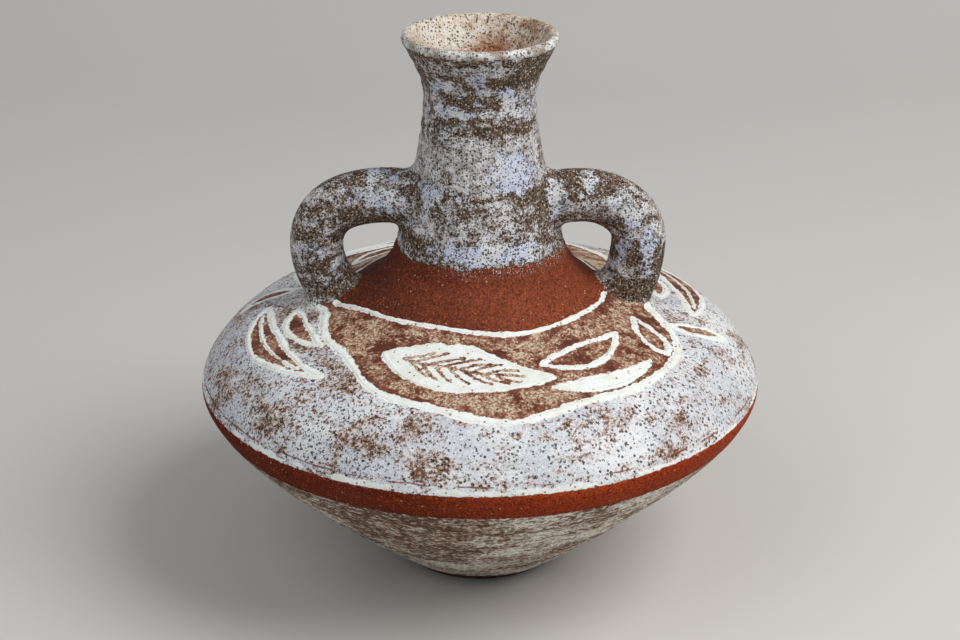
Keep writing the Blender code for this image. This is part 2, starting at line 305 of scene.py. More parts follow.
def unevenness(azimuth, arc):
    """How far the outer wall stands off its profile, nothing at the widest ring and the lip."""
    offset = np.zeros(np.broadcast(azimuth, arc).shape)
    for turns, pitch, phase, size in WAVES:
        offset = offset + size * np.sin(turns * azimuth + pitch * arc + phase)
    neck = smooth(arc - ROOT_ARC, *RINGS_FROM_ROOT) * smooth(LIP_ARC - arc, *RINGS_FROM_LIP)
    rings = np.sin(arc / THROWING_PITCH + 0.7 * np.sin(azimuth))
    rings = rings * np.sin(arc * THROWING_BEAT + azimuth)
    offset = offset + THROWING_HEIGHT * neck * rings
    fade = 1.0 - bell(arc - BELLY_ARC, BELLY_CALM)
    return offset * (fade * smooth(LIP_ARC + 0.004 - arc, 0.0, LIP_CALM))


def glaze_edge_mm(azimuth, arc):
    """How far up inside the neck's thick glaze a point of the wall lies."""
    return (wall_at(arc)[1] - swayed(azimuth, GLAZE_EDGE, GLAZE_EDGE_WAVES)) / MM


def wall_point(azimuth, arc, lift=0.0):
    """Point of the finished outer wall, lifted off it by lift."""
    radius, height, out, up = wall_at(arc)
    glaze = GLAZE_THICKNESS * smooth(glaze_edge_mm(azimuth, arc), 0.0, 1.2)
    glaze = glaze * smooth(LIP_ARC - arc, 0.0, LIP_CALM)
    offset = unevenness(azimuth, arc) + glaze + lift
    radius = radius + offset * out
    height = height + offset * up
    return np.stack([radius * np.sin(azimuth), -radius * np.cos(azimuth), height], -1)


# The frieze, in millimetres of radius on the shoulder, with waves as number, size and phase
FRIEZE_REPEATS = 2
FRIEZE_START = np.radians(16.0)
FRIEZE_INNER = 58.0
FRIEZE_OUTER = 118.0
COLLAR = 62.5
COLLAR_WAVES = ((2, 2.2, 1.0), (5, 1.4, 0.5))
WAVE_MIDDLE = 97.0
WAVE_SWING = 18.0
WAVE_SMALL = ((6, 2.6, 0.9), (11, 1.2, 0.4))
WAVE_STEEP = 1.8
WAVE_SHIFT = 0.3
WAVE_GAP = 7.0

# Lobes of the collar: azimuth in degrees, size in millimetres and half width in degrees
COLLAR_LOBES = ((-89.0, 16.0, 19.0), (5.0, -4.0, 32.0))


def collar_radius(azimuth):
    """Outer edge of the rust collar, wider round the left handle's foot and narrower in front."""
    edge = swayed(azimuth, COLLAR, COLLAR_WAVES)
    for middle, height, half in COLLAR_LOBES:
        edge = edge + height * bell(angle_between(azimuth, np.radians(middle)), np.radians(half))
    return edge


def angle_between(azimuth, middle):
    return (azimuth - middle + np.pi) % (2 * np.pi) - np.pi


def wave_radius(azimuth):
    """Lower edge of the brown field: a running wave round the shoulder."""
    turn = FRIEZE_REPEATS * (azimuth - FRIEZE_START)
    wave = WAVE_MIDDLE + WAVE_SWING * np.tanh(WAVE_STEEP * (np.cos(turn) + WAVE_SHIFT))
    return np.maximum(swayed(azimuth, wave, WAVE_SMALL), collar_radius(azimuth) + WAVE_GAP)


class Leaf:
    """A pointed form on the shoulder: its middle, length, width, tilt and bend."""

    def __init__(self, azimuth, radius, length, width, tilt=0.0, bend=0.0):
        self.azimuth = np.radians(azimuth)
        self.radius = radius
        self.length = length
        self.width = width
        self.tilt = np.radians(tilt)
        self.bend = bend

    def local(self, azimuth, radius):
        """Along and across the leaf from its middle, in millimetres."""
        across = radius - self.radius
        forward = angle_between(azimuth, self.azimuth) * self.radius
        turned = forward * np.cos(self.tilt) + across * np.sin(self.tilt)
        side = across * np.cos(self.tilt) - forward * np.sin(self.tilt)
        return turned, side - self.spine(turned)

    def spine(self, forward):
        return self.bend * (1.0 - (2.0 * forward / self.length) ** 2)

    def half(self, forward):
        share = np.clip(2.0 * forward / self.length, -1.0, 1.0)
        return self.width / 2 * (1.0 - share**2) * (1.0 - 0.25 * share)

    def inside_mm(self, azimuth, radius):
        forward, side = self.local(azimuth, radius)
        return self.half(forward) - np.abs(side) - np.maximum(np.abs(forward) - self.length / 2, 0.0)

    def place(self, forward, side):
        """Azimuth and radius of a point given along and across the leaf."""
        side = side + self.spine(forward)
        turned = forward * np.cos(self.tilt) - side * np.sin(self.tilt)
        across = side * np.cos(self.tilt) + forward * np.sin(self.tilt)
        return self.azimuth + turned / self.radius, self.radius + across

    def outline(self, count=160):
        turn = np.linspace(0.0, 2 * np.pi, count, endpoint=False)
        forward = self.length / 2 * np.cos(turn)
        side = np.where(np.sin(turn) >= 0, 1.0, -1.0) * self.half(forward)
        drift = swayed(turn, 0.0, ((5, 0.024, self.radius), (11, 0.014, self.length)))
        return self.place(forward, side + self.width * drift * np.abs(np.sin(turn)))

    def vein(self, start, end, reach, count=14):
        """A line from the spine out to a share of the half width, in shares of the half length."""
        share = np.linspace(0.0, 1.0, count)
        forward = self.length / 2 * (start + (end - start) * share)
        side = reach * self.half(forward) * share**0.8
        return self.place(forward, side)


def repeated(azimuth, *rest, **more):
    step = 360.0 / FRIEZE_REPEATS
    return [Leaf(azimuth + step * index, *rest, **more) for index in range(FRIEZE_REPEATS)]


CREST = float(np.degrees(FRIEZE_START))
WHITE_LEAVES = repeated(CREST - 22.0, 87.0, 84.0, 28.0, tilt=8.0, bend=-2.5)
THIN_LEAVES = repeated(CREST + 20.0, 101.0, 56.0, 8.5, tilt=3.0, bend=2.5)
DARK_LEAVES = repeated(CREST + 22.0, 81.0, 50.0, 13.5, tilt=-5.0, bend=2.5)
DARK_LEAVES += repeated(CREST + 49.0, 92.0, 32.0, 11.0, tilt=-52.0, bend=-1.5)
BROWN_LEAVES = repeated(CREST + 96.0, 107.0, 92.0, 14.0, tilt=1.0, bend=4.0)
SMALL_LEAVES = repeated(CREST + 94.0, 91.5, 46.0, 10.0, tilt=1.0, bend=2.5)
SMALL_LEAVES += repeated(CREST + 63.0, 109.5, 30.0, 9.0, tilt=66.0, bend=2.0)

# How a line swells: numbers in a run of this many millimetres, each with its size
SWELL_RUN = 300.0
SWELLS = ((3, 0.12), (7, 0.13), (17, 0.11), (31, 0.08), (53, 0.05))

# Half widths of the lines and the step of the scratches, in millimetres
COLLAR_LINE = 1.6
WAVE_LINE = 2.15
SPINE_LINE = 0.9
VEIN_LINE = 0.95
SCRATCH_STEP = 0.5
OUTLINED = (
    (WHITE_LEAVES, 1.6),
    (DARK_LEAVES, 1.5),
    (BROWN_LEAVES, 1.7),
    (SMALL_LEAVES, 1.6),
    (THIN_LEAVES, 1.3),
)

# Spines and veins, in shares of a leaf's length, half length and half width
BROWN_SPINE = (-0.40, 0.34)
WHITE_SPINE = (-0.37, 0.36)
VEINS = 7
VEIN_START = -0.70
VEIN_STEP = 0.175
VEIN_LENGTH = 0.34
VEIN_REACH = 0.66


def brown_mm(azimuth, radius):
    """How far inside a brown field a point of the shoulder lies."""
    field = np.minimum(radius - collar_radius(azimuth), wave_radius(azimuth) - radius)
    for leaf in WHITE_LEAVES:
        field = np.minimum(field, -leaf.inside_mm(azimuth, radius))
    for leaf in BROWN_LEAVES + SMALL_LEAVES:
        field = np.maximum(field, leaf.inside_mm(azimuth, radius))
    return field


def waver(run_mm):
    """The hand's pressure: slow swells of a line's width."""
    length = run_mm[-1] + 1.0
    found = np.zeros(len(run_mm))
    for swells, size in SWELLS:
        turns = max(round(length * swells / SWELL_RUN), 1)
        found += size * np.sin(2 * np.pi * turns * run_mm / length + 2.1 * swells)
    return found


class Trail:
    """A line of slip on the shoulder, as evenly spaced places with a half width at each."""

    def __init__(self, azimuth, arc, half_mm, closed, rise_mm=0.4, step_mm=0.9):
        points = wall_point(azimuth, arc)
        if closed:
            azimuth = np.append(azimuth, azimuth[0])
            arc = np.append(arc, arc[0])
            points = np.concatenate([points, points[:1]])
        azimuth = np.unwrap(azimuth)
        run = arcs(points)
        count = max(int(round(run[-1] / step_mm / MM)), 4)
        at = np.linspace(0.0, run[-1], count, endpoint=not closed)
        self.azimuth = np.interp(at, run, azimuth)
        self.arc = np.interp(at, run, arc)
        self.closed = closed
        self.rise = rise_mm * MM
        self.half = half_mm * MM * (1.0 + waver(at / MM))
        if not closed:
            ends = np.minimum(at, at[-1] - at)
            self.half *= np.sqrt(np.clip(ends / self.half, 0.0, 1.0) * 0.94 + 0.06)
        self.points = wall_point(self.azimuth, self.arc)

    def normals(self):
        return unit(wall_point(self.azimuth, self.arc, 1.0 * MM) - self.points)

    def ways(self):
        """Unit steps along the line."""
        if self.closed:
            return unit(np.roll(self.points, -1, 0) - np.roll(self.points, 1, 0))
        return unit(np.gradient(self.points, axis=0))


def shoulder_trail(places, half_mm, closed=False, **more):
    """A line through places given as azimuths and radii."""
    azimuth, radius = places
    return Trail(azimuth, arc_at_radius(radius * MM), half_mm, closed, **more)


def slip_trails():
    """Every raised cream line: round the collar, along the wave and round each leaf."""
    around = np.linspace(-np.pi, np.pi, 1200, endpoint=False)
    trails = [
        shoulder_trail((around, collar_radius(around)), COLLAR_LINE, True),
        shoulder_trail((around, wave_radius(around)), WAVE_LINE, True),
    ]
    for leaves, half in OUTLINED:
        trails += [shoulder_trail(leaf.outline(), half, True) for leaf in leaves]
    spine = np.linspace(*BROWN_SPINE, 30)
    for leaf in BROWN_LEAVES:
        trails.append(shoulder_trail(leaf.place(spine * leaf.length, np.zeros(30)), SPINE_LINE))
    return trails


def scratches():
    """Brown strokes scratched through the white leaves, like veins on both sides of a spine."""
    found = []
    for leaf in WHITE_LEAVES:
        spine = np.linspace(*WHITE_SPINE, 40) * leaf.length
        bent = leaf.place(spine, 0.4 * np.sin(spine / 5.0))
        found.append(shoulder_trail(bent, SPINE_LINE, step_mm=SCRATCH_STEP))
        for index in range(VEINS):
            start = VEIN_START + VEIN_STEP * index
            for side in (-1.0, 1.0):
                end = start + VEIN_LENGTH + 0.05 * np.sin(5.0 * index + side)
                reach = (VEIN_REACH + 0.08 * np.cos(3.0 * index + 2.0 * side)) * side
                vein = leaf.vein(start + 0.04 * side, end, reach)
                found.append(shoulder_trail(vein, VEIN_LINE, step_mm=SCRATCH_STEP))
    return found


def tree_of(places):
    """A search tree for the nearest of these places."""
    tree = KDTree(len(places))
    for index, place in enumerate(places):
        tree.insert(place, index)
    tree.balance()
    return tree


def nearest_inside_mm(points, trails):
    """How far inside the nearest of these lines each point lies, or less than 0 outside."""
    tree = tree_of(np.concatenate([trail.points for trail in trails]))
    halves = np.concatenate([trail.half for trail in trails])
    found = np.empty(len(points))
    for row, point in enumerate(points):
        _, index, distance = tree.find(point)
        found[row] = (halves[index] - distance) / MM
    return found


def mesh_object(name, points, faces, fields, material, places=None):
    """A smooth-shaded object from points, faces and a number at each point for each field.

    Its places, if it has any, are those of each face's corners on its map.
    """
    mesh = bpy.data.meshes.new(name)
    mesh.from_pydata(np.asarray(points, float).tolist(), [], faces)
    if places is not None:
        layer = mesh.uv_layers.new(name=BAKE_MAP)
        layer.uv.foreach_set("vector", np.asarray(places, np.float32).ravel())
    for field, values in fields.items():
        layer = mesh.attributes.new(field, "FLOAT", "POINT")
        layer.data.foreach_set("value", np.asarray(values, np.float32).ravel())
    mesh.materials.append(material)
    mesh.shade_smooth()
    mesh.set_sharp_from_angle(angle=np.radians(SHARP_ANGLE))
    obj = bpy.data.objects.new(name, mesh)
    bpy.context.scene.collection.objects.link(obj)
    return obj


def band_faces(rows, sides, closed=False):
    """Quads between neighbouring rings of points, and from the last to the first if closed."""
    faces = []
    for row in range(rows if closed else rows - 1):
        low, high = row * sides, (row + 1) % rows * sides
        for side in range(sides):
            beside = (side + 1) % sides
            faces.append((low + side, low + beside, high + beside, high + side))
    return faces


def flat(across, height):
    """Places on a map, in the order of the faces' corners."""
    return np.stack(np.broadcast_arrays(across, height), -1).reshape(-1, 2)


def on_disc(radius, turn):
    """Places on a round map."""
    return flat(0.5 + radius * np.sin(turn), 0.5 - radius * np.cos(turn))


def at_corners(levels, near, far):
    """Level and turn at the corners of the faces of band_faces, from two levels for each band."""
    low, high = np.asarray(levels, float).T[:, :, None]
    level = np.stack([low, low, high, high], -1)
    return np.broadcast_arrays(level, np.stack([near, far, far, near], -1))


def disc_map(levels, sides):
    """Places on a round map for the faces of band_faces, from two radii for each band."""
    turn = azimuths(sides)
    return on_disc(*at_corners(levels, turn, turn + 2 * np.pi / sides))


def fan_map(radii, sides, flipped):
    """The same for a fan of triangles round a middle point."""
    turn = azimuths(sides)
    beside = turn + 2 * np.pi / sides
    first, second = (turn, beside) if flipped else (beside, turn)
    turns = np.stack([(turn + beside) / 2, first, second], -1)
    return on_disc(np.array([radii[0], radii[1], radii[1]]), turns)


def strip_map(levels, sides):
    """Places on a square map for the faces of band_faces, with its seam at the back."""
    near = (np.arange(sides) + sides // 2) % sides / sides
    height, across = at_corners(levels, near, near + 1 / sides)
    return flat(across, height)


def bands(*levels):
    """Two levels for each band between neighbouring rows, from the rows' levels."""
    level = np.concatenate(levels)
    return np.stack([level[:-1], level[1:]], 1)


def azimuths(sides):
    """The turn to each point of a ring, from the front."""
    return np.arange(sides) * 2 * np.pi / sides


def turned(sides, points):
    """Rings of points for a list of (radius, height)."""
    around = azimuths(sides)
    radius, height = np.asarray(points, float).T[:, :, None]
    x = radius * np.sin(around)
    return np.stack([x, -radius * np.cos(around), np.broadcast_to(height, x.shape)], -1)


def wall_rows(sides, arc):
    """Rings of points of the finished outer wall, one for each arc."""
    return wall_point(*np.broadcast_arrays(azimuths(sides), arc[:, None]))


def in_box(points):
    """The points kept inside the widest ring of the solids."""
    kept = points.copy()
    radius = np.hypot(points[..., 0], points[..., 1])
    kept[..., :2] *= np.minimum(1.0, BELLY[0] / np.maximum(radius, 1e-9))[..., None]
    return kept


def even_arcs(start, end, step):
    return np.linspace(start, end, int(round((end - start) / step)) + 1)


def end_fans(count, sides):
    """Triangles from the first and the last row of points to the two points after the rows."""
    faces = []
    last = count - sides
    for side in range(sides):
        beside = (side + 1) % sides
        faces += [(count, beside, side), (count + 1, last + side, last + beside)]
    return faces


def build_bowl():
    sides = CONE_SIDES
    outer = in_box(wall_rows(sides, even_arcs(0.0, BELLY_ARC, OUTER_STEP)))
    floor = (FLOOR_RADIUS, FLOOR_HEIGHT, 0.0)
    rise = stretch(floor, FLOOR_PULL, BELLY, BELLY_PULLS[0], (0.0, BODY_WALL))
    inner = turned(sides, resampled(rise, INNER_STEP)[::-1])
    floor_rings = turned(sides, [(radius, FLOOR_HEIGHT) for radius in FLOOR_RINGS])
    under = turned(sides, [(radius, BASE[1]) for radius in UNDER_RINGS])
    rows = np.concatenate([under, outer, inner, floor_rings])
    points = np.concatenate([rows.reshape(-1, 3), [[0, 0, BASE[1]], [0, 0, FLOOR_HEIGHT]]])
    faces = band_faces(len(rows), sides) + end_fans(len(rows) * sides, sides)
    counts = [part.size // 3 for part in (under, outer, inner, floor_rings)] + [1, 1]
    height = points[:, 2]
    fields = {
        "belt_mm": np.minimum(height - BELT_LOW, BELT_HIGH - height) / MM,
        "inner": np.repeat([0.0, 0.0, 1.0, 1.0, 0.0, 1.0], counts),
        "under": np.repeat([1.0, 0.0, 0.0, 0.0, 1.0, 0.0], counts),
    }
    level = bands(
        np.linspace(*UNDER_MAP, len(under)),
        np.linspace(*CONE_MAP, len(outer)),
        np.linspace(*CONE_LINING_MAP, len(inner)),
        FLOOR_MAP,
    )
    level[len(under) + len(outer) - 1] = CONE_EDGE_MAP
    fans = [fan_map(UNDER_FAN_MAP, sides, False), fan_map(FLOOR_FAN_MAP, sides, True)]
    fans = np.reshape(fans, (2, sides, 3, 2)).transpose(1, 0, 2, 3).reshape(-1, 2)
    places = np.concatenate([disc_map(level, sides), fans])
    finish = material("streaked_glaze_on_bowl", bowl_finish, 0.4)
    return mesh_object("bowl_glazed", points, faces, fields, finish, places)


def shoulder_fields(points, trails, strokes=()):
    """Zones of the shoulder's glaze at points near its top, each in millimetres inside."""
    azimuth, radius, height = polar(points)
    top = radius / MM + np.where(height < FRIEZE_LOW, (FRIEZE_LOW - height) / MM * 2.0, 0.0)
    fields = {
        "rust_mm": np.maximum(collar_radius(azimuth) - top, (BELT_HIGH - height) / MM),
        "brown_mm": brown_mm(azimuth, top),
        "line_mm": nearest_inside_mm(points, trails),
    }
    if strokes:
        pale = [leaf.inside_mm(azimuth, top) for leaf in WHITE_LEAVES + THIN_LEAVES]
        fields["white_mm"] = np.max(pale, axis=0)
        fields["scratch_mm"] = nearest_inside_mm(points, strokes)
    return fields


def shoulder_arcs():
    """Rows of the shoulder, closer together where the frieze is."""
    low, high = arc_at_radius(FRIEZE_OUTER * MM), arc_at_radius(FRIEZE_INNER * MM)
    return joined(
        even_arcs(BELLY_ARC, low, OUTER_STEP),
        even_arcs(low, high, FRIEZE_STEP),
        even_arcs(high, ROOT_ARC, OUTER_STEP),
    )


def build_shoulder(trails, strokes):
    sides = BODY_SIDES
    arc = shoulder_arcs()
    outer = in_box(wall_rows(sides, arc)).reshape(-1, 3)
    rebate = (*(np.array(ROOT[:2]) - NECK_STEP * along(ROOT[2])), ROOT[2])
    low = stretch(*BELLY_RUN, (BODY_WALL, BODY_WALL))
    high = stretch(TURN, TURN_PULLS[1], rebate, ROOT_PULLS[0], (BODY_WALL, NECK_WALL))
    inner = turned(sides, resampled(joined(low, high), INNER_STEP)[::-1])
    fields = shoulder_fields(outer, trails, strokes)
    counts = (len(outer), inner.size // 3)
    fields = {name: np.append(at, np.full(counts[1], -FAR_MM)) for name, at in fields.items()}
    fields["inner"] = np.repeat([0.0, 1.0], counts)
    outer_level = np.interp(arc, (BELLY_ARC, ROOT_ARC), SHOULDER_MAP)
    level = bands(outer_level, np.linspace(*LINING_MAP, len(inner)), LINING_EDGE_MAP[1:])
    level[-1] = LINING_EDGE_MAP
    points = np.concatenate([outer, inner.reshape(-1, 3)])
    faces = band_faces(len(arc) + len(inner), sides, True)
    finish = material("frieze_glaze", shoulder_finish, 0.35)
    return mesh_object("shoulder_glazed", points, faces, fields, finish, disc_map(level, sides))


def build_neck():
    sides = NECK_SIDES
    arc = even_arcs(ROOT_ARC, TOP_ARC, OUTER_STEP)
    down = joined(*(stretch(*run, (NECK_WALL, NECK_WALL)) for run in NECK_RUNS))
    inner = turned(sides, resampled(down, NECK_INNER_STEP)[::-1][1:])
    depths = (NECK_WALL, NECK_WALL / 2)
    foot = [np.array(ROOT[:2]) + d * inward(ROOT[2]) - NECK_STEP * along(ROOT[2]) for d in depths]
    rows = np.concatenate([wall_rows(sides, arc), inner, turned(sides, foot)])
    rows[..., 2] = np.minimum(rows[..., 2], CAD_TOP)
    points = rows.reshape(-1, 3)
    inner_arc = TOP_ARC + (np.arange(len(inner) + 2) + 1) * NECK_INNER_STEP
    arc = np.repeat(np.concatenate([arc, inner_arc]), sides)
    fields = {
        "glaze_mm": np.where(arc <= TOP_ARC, glaze_edge_mm(polar(points)[0], arc), FAR_MM),
        "lip_mm": (arc - LIP_ARC) / MM + LIP_OVERLAP_MM,
        "inside_mm": (arc - TOP_ARC) / MM + MOUTH_OVERLAP_MM,
        "patch_mm": patch_mm(points),
    }
    run = arcs(rows[:, 0])
    low, height, top = NECK_MAP
    places = strip_map(bands(low + height * run / run[-1], (top,)), sides)
    finish = material("dark_glaze_on_neck", neck_finish, 0.5)
    faces = band_faces(len(rows), sides, True)
    return mesh_object("neck_glazed", points, faces, fields, finish, places)


def build_foot_ring():
    """The bare foot ring, with rounded edges and a tongue up into the bowl."""
    outer, inner, top = FOOT_RADIUS, FOOT_RADIUS - FOOT_WIDTH, FOOT_HEIGHT + FOOT_TONGUE
    rounds = []
    for middle, turn in ((outer - FOOT_ROUND, -90.0), (inner + FOOT_ROUND, 180.0)):
        turns = [turn + 90.0 * index / 4 for index in range(5)]
        rounds.append([np.array([middle, FOOT_ROUND]) + FOOT_ROUND * along(at) for at in turns])
    corners = [*rounds[0], (outer, top), (inner, top), *rounds[1], ((inner + outer) / 2, 0.0)]
    sides = CONE_SIDES // 2
    points = turned(sides, corners).reshape(-1, 3)
    faces = band_faces(len(corners), sides, True)
    # The foot's bare clay, darkened as painted shade
    clay = material("foot_clay_with_painted_shade", clay_darkened_as_painted_shade, 0.3)
    return mesh_object("foot_ring_clay", points, faces, {}, clay)


def handle_middle(spec):
    """Middle line of a handle in its plane, evenly spaced, from inside the neck to the shoulder."""
    start, arm = np.array(HANDLE_START), np.array(HANDLE_ARM)
    side = np.array([spec["reach"], HANDLE_SIDE_HEIGHT])
    foot = np.array([spec["foot"], wall_at(arc_at_radius(spec["foot"]))[1]])
    right, down, landing_way = along(0.0), along(270.0), along(HANDLE_FOOT_ANGLE)
    third = np.linalg.norm(arm - start) / 3 * right
    side_in, side_out = (pull * down for pull in HANDLE_SIDE_PULLS)
    out = bezier(start, start + third, arm - third, arm, FINE)
    bend = bezier(arm, arm + HANDLE_ARM_PULL * right, side - side_in, side, FINE)
    leg = bezier(side, side + side_out, foot - HANDLE_FOOT_PULL * landing_way, foot, FINE)
    dip = np.array([foot, foot + HANDLE_DIP * landing_way])
    return resampled(joined(out, bend, leg, dip), HANDLE_STEP)


def off_wall(points):
    """Signed distance of points from the finished wall, with the azimuth and arc beside them."""
    tree = tree_of([(radius, height, 0.0) for radius, height in WALL])
    azimuth, radius, height = polar(points)
    arc = WALL_ARC[[tree.find((r, z, 0.0))[1] for r, z in zip(radius, height)]]
    on_r, on_z, out, up = wall_at(arc)
    reach = (radius - on_r) * out + (height - on_z) * up
    _, radius, height = polar(wall_point(azimuth, arc))
    return reach - ((radius - on_r) * out + (height - on_z) * up), azimuth, arc


def handle_skin(spec):
    """Points of the rolled clay along and round a handle, as [step, side]."""
    middle = handle_middle(spec)
    way = unit(np.gradient(middle, axis=0))
    across = np.stack([-way[:, 1], way[:, 0]], 1)
    turn = azimuths(HANDLE_SIDES)
    share = np.linspace(0.0, 1.0, len(middle))[:, None]
    lumps = 0.020 * np.sin(9.0 * share + 2 * turn + spec["side"])
    lumps = 1.0 + (lumps + 0.014 * np.sin(23.0 * share - 3 * turn + 2.0 * spec["side"]))
    flat_inside = 1.0 - 0.05 * smooth(-np.cos(turn), 0.2, 1.0)
    thick = HANDLE_HALF_THICKNESS * lumps * flat_inside * np.cos(turn)
    x = (middle[:, :1] + across[:, :1] * thick) * spec["side"]
    z = middle[:, 1:] + across[:, 1:] * thick
    return np.stack([x, HANDLE_HALF_WIDTH * lumps * np.sin(turn), z], -1)


def landing(reach, at_foot):
    """Where each line along the handle meets the wall, as a fraction of its steps."""
    half = len(reach) // 2
    if at_foot:
        low = half - 1 + np.argmax(reach[half:] <= 0, axis=0)
    else:
        low = half - 1 - np.argmax(reach[half - 1 :: -1] <= 0, axis=0)
    sides = np.arange(reach.shape[1])
    before, after = reach[low, sides], reach[low + 1, sides]
    return low + before / (before - after)


def on_lines(skin, step):
    """Points of the skin at a fractional step on each line along the handle."""
    low = np.clip(np.floor(step).astype(int), 0, len(skin) - 2)
    share = (step - low)[:, None]
    sides = np.arange(skin.shape[1])
    return skin[low, sides] * (1 - share) + skin[low + 1, sides] * share


def fillet(skin, meet, away, size, middle_way):
    """Rows that curve from the handle's skin out onto the wall, and the sunk edge that ends them."""
    joint = on_lines(skin, meet)
    start = on_lines(skin, meet + away * size / HANDLE_STEP)
    _, azimuth, arc = off_wall(joint)
    normal = unit(wall_point(azimuth, arc, 1.0 * MM) - wall_point(azimuth, arc))
    out = joint - joint.mean(0)
    for way in (middle_way, normal):
        out -= (out * way).sum(1)[:, None] * way
    _, azimuth, arc = off_wall(joint + np.reshape(size, (-1, 1)) * unit(out))
    end = wall_point(azimuth, arc, FILLET_LIFT)
    share = np.linspace(0.0, 1.0, FILLET_ROWS)[:, None, None]
    rows = (1 - share) ** 2 * start + 2 * share * (1 - share) * joint + share**2 * end
    return rows, end - FILLET_SUNK * normal


def handle_rows(spec):
    """Rings of points down a handle, and how far above the foot's joint each lies in mm."""
    skin = handle_skin(spec)
    turn = azimuths(HANDLE_SIDES)
    reach = off_wall(skin.reshape(-1, 3))[0].reshape(len(skin), -1)
    at_neck, at_foot = landing(reach, False), landing(reach, True)
    out_way = np.array([spec["side"], 0.0, 0.0])
    down = along(HANDLE_FOOT_ANGLE)
    down_way = np.array([spec["side"] * down[0], 0.0, down[1]])
    foot_size = FILLET_AT_FOOT + spec["flare_in"] * smooth(-np.cos(turn), 0.0, 1.0)
    foot_size = foot_size + spec["flare_out"] * smooth(np.cos(turn), -0.2, 0.8)
    top, top_sunk = fillet(skin, at_neck, 1.0, FILLET_AT_NECK, out_way)
    low, low_sunk = fillet(skin, at_foot, -1.0, foot_size, down_way)
    first, last = at_neck + FILLET_AT_NECK / HANDLE_STEP, at_foot - foot_size / HANDLE_STEP
    steps = [first + (last - first) * s for s in np.linspace(0.0, 1.0, HANDLE_ROWS)[1:-1]]
    body = np.array([on_lines(skin, step) for step in steps])
    to_foot = (
        np.full((1 + len(top), HANDLE_SIDES), FAR_FROM_FOOT_MM),
        (at_foot - np.array(steps)) * (HANDLE_STEP / MM),
        np.linspace(1.0, -1.0, FILLET_ROWS)[:, None] * foot_size / MM,
        -foot_size[None] / MM,
    )
    rows = np.concatenate([top_sunk[None], top[::-1], body, low, low_sunk[None]])
    return rows, np.concatenate(to_foot)


def build_handle(name, spec, finish, trails):
    rows, to_foot = handle_rows(spec)
    waves = ((2, 0.5, 0.6), (5, 0.4, spec["side"]))
    edge = swayed(azimuths(HANDLE_SIDES), HANDLE_GLAZE_EDGE_MM, waves)
    points = np.concatenate([rows.reshape(-1, 3), [rows[0].mean(0), rows[-1].mean(0)]])
    faces = band_faces(len(rows), HANDLE_SIDES) + end_fans(len(points) - 2, HANDLE_SIDES)
    if spec["side"] < 0:
        faces = [face[::-1] for face in faces]
    fields = shoulder_fields(points, trails)
    fields["glaze_mm"] = np.append((to_foot - edge).ravel(), [FAR_MM, -FAR_MM])
    fields["patch_mm"] = patch_mm(points)
    return mesh_object(name, points, faces, fields, finish)


# The map of the lines, in rows and steps
LINE_ROWS = 18
LINE_STEPS = 200
LINE_SHARE = 0.92
END_SIZE = 0.4 / LINE_STEPS

# The cross-section of a line, in shares of its half width, and how uneven it is
BEAD_SHARES = (-1.0, -0.92, -0.74, -0.48, -0.2, 0.1, 0.4, 0.68, 0.88, 1.0)
BEAD_SEED = 5
BEAD_WIDTH = 0.66
BEAD_EDGE_ROUGH = 0.16
BEAD_TOP_ROUGH = 0.06
BEAD_SET_IN = 0.08 * MM
BEAD_DEPTH = 0.7 * MM


def bead_points(trail, rough):
    """Cross-sections of one line: a low dome with an uneven edge, closed under the wall."""
    normal = trail.normals()
    side = np.cross(normal, trail.ways())
    count = len(trail.points)
    share = np.array(BEAD_SHARES)
    edge = 1.0 + rough.normal(0.0, BEAD_EDGE_ROUGH, (count, 2))
    edge = (edge + np.roll(edge, 1, 0)) / 2
    half = BEAD_WIDTH * trail.half[:, None] * np.where(share < 0, edge[:, :1], edge[:, 1:])
    dome = (1.0 - np.abs(share) ** 3) * trail.rise
    dome = dome * (1.0 + rough.normal(0.0, BEAD_TOP_ROUGH, (count, 1)))
    dome = np.minimum(dome, trail.half[:, None] * 0.9) - BEAD_SET_IN
    top = trail.points[:, None] + side[:, None] * (half * share)[..., None]
    top = top + normal[:, None] * dome[..., None]
    under = trail.points - BEAD_DEPTH * normal
    left = under - side * half[:, :1] * 0.8
    right = under + side * half[:, -1:] * 0.8
    return np.concatenate([top, right[:, None], left[:, None]], 1)


def build_slip(trails):
    rough = np.random.default_rng(BEAD_SEED)
    points, faces, places = [], [], []
    base = steps = 0
    for trail in trails:
        rows = in_box(bead_points(trail, rough))
        count, sides = rows.shape[:2]
        bead = band_faces(count, sides, trail.closed)
        places.append(line_map(steps, len(bead) // sides, sides))
        steps += len(bead) // sides
        if not trail.closed:
            bead.append(tuple(reversed(range(sides))))
            bead.append(tuple(range((count - 1) * sides, count * sides)))
            places.append(end_map(steps, sides))
            steps += 2
        faces += [tuple(base + corner for corner in face) for face in bead]
        points.append(rows.reshape(-1, 3))
        base += count * sides
    points, places = np.concatenate(points), np.concatenate(places)
    finish = material("cream_slip", cream, 0.25)
    return mesh_object("trailed_slip_lines", points, faces, {}, finish, places)


def line_map(start, steps, sides):
    """Places on a square map for a bead's faces: its steps run on along rows of the map."""
    index = np.arange(start, start + steps)[:, None]
    left, low = index % LINE_STEPS / LINE_STEPS, index // LINE_STEPS / LINE_ROWS
    right = left + 1 / LINE_STEPS
    near = low + ((1.0 - LINE_SHARE) / 2 + LINE_SHARE * np.arange(sides) / sides) / LINE_ROWS
    far = near + LINE_SHARE / sides / LINE_ROWS
    across = np.stack([left, left, right, right], -1)
    return flat(across, np.stack([near, far, far, near], -1))


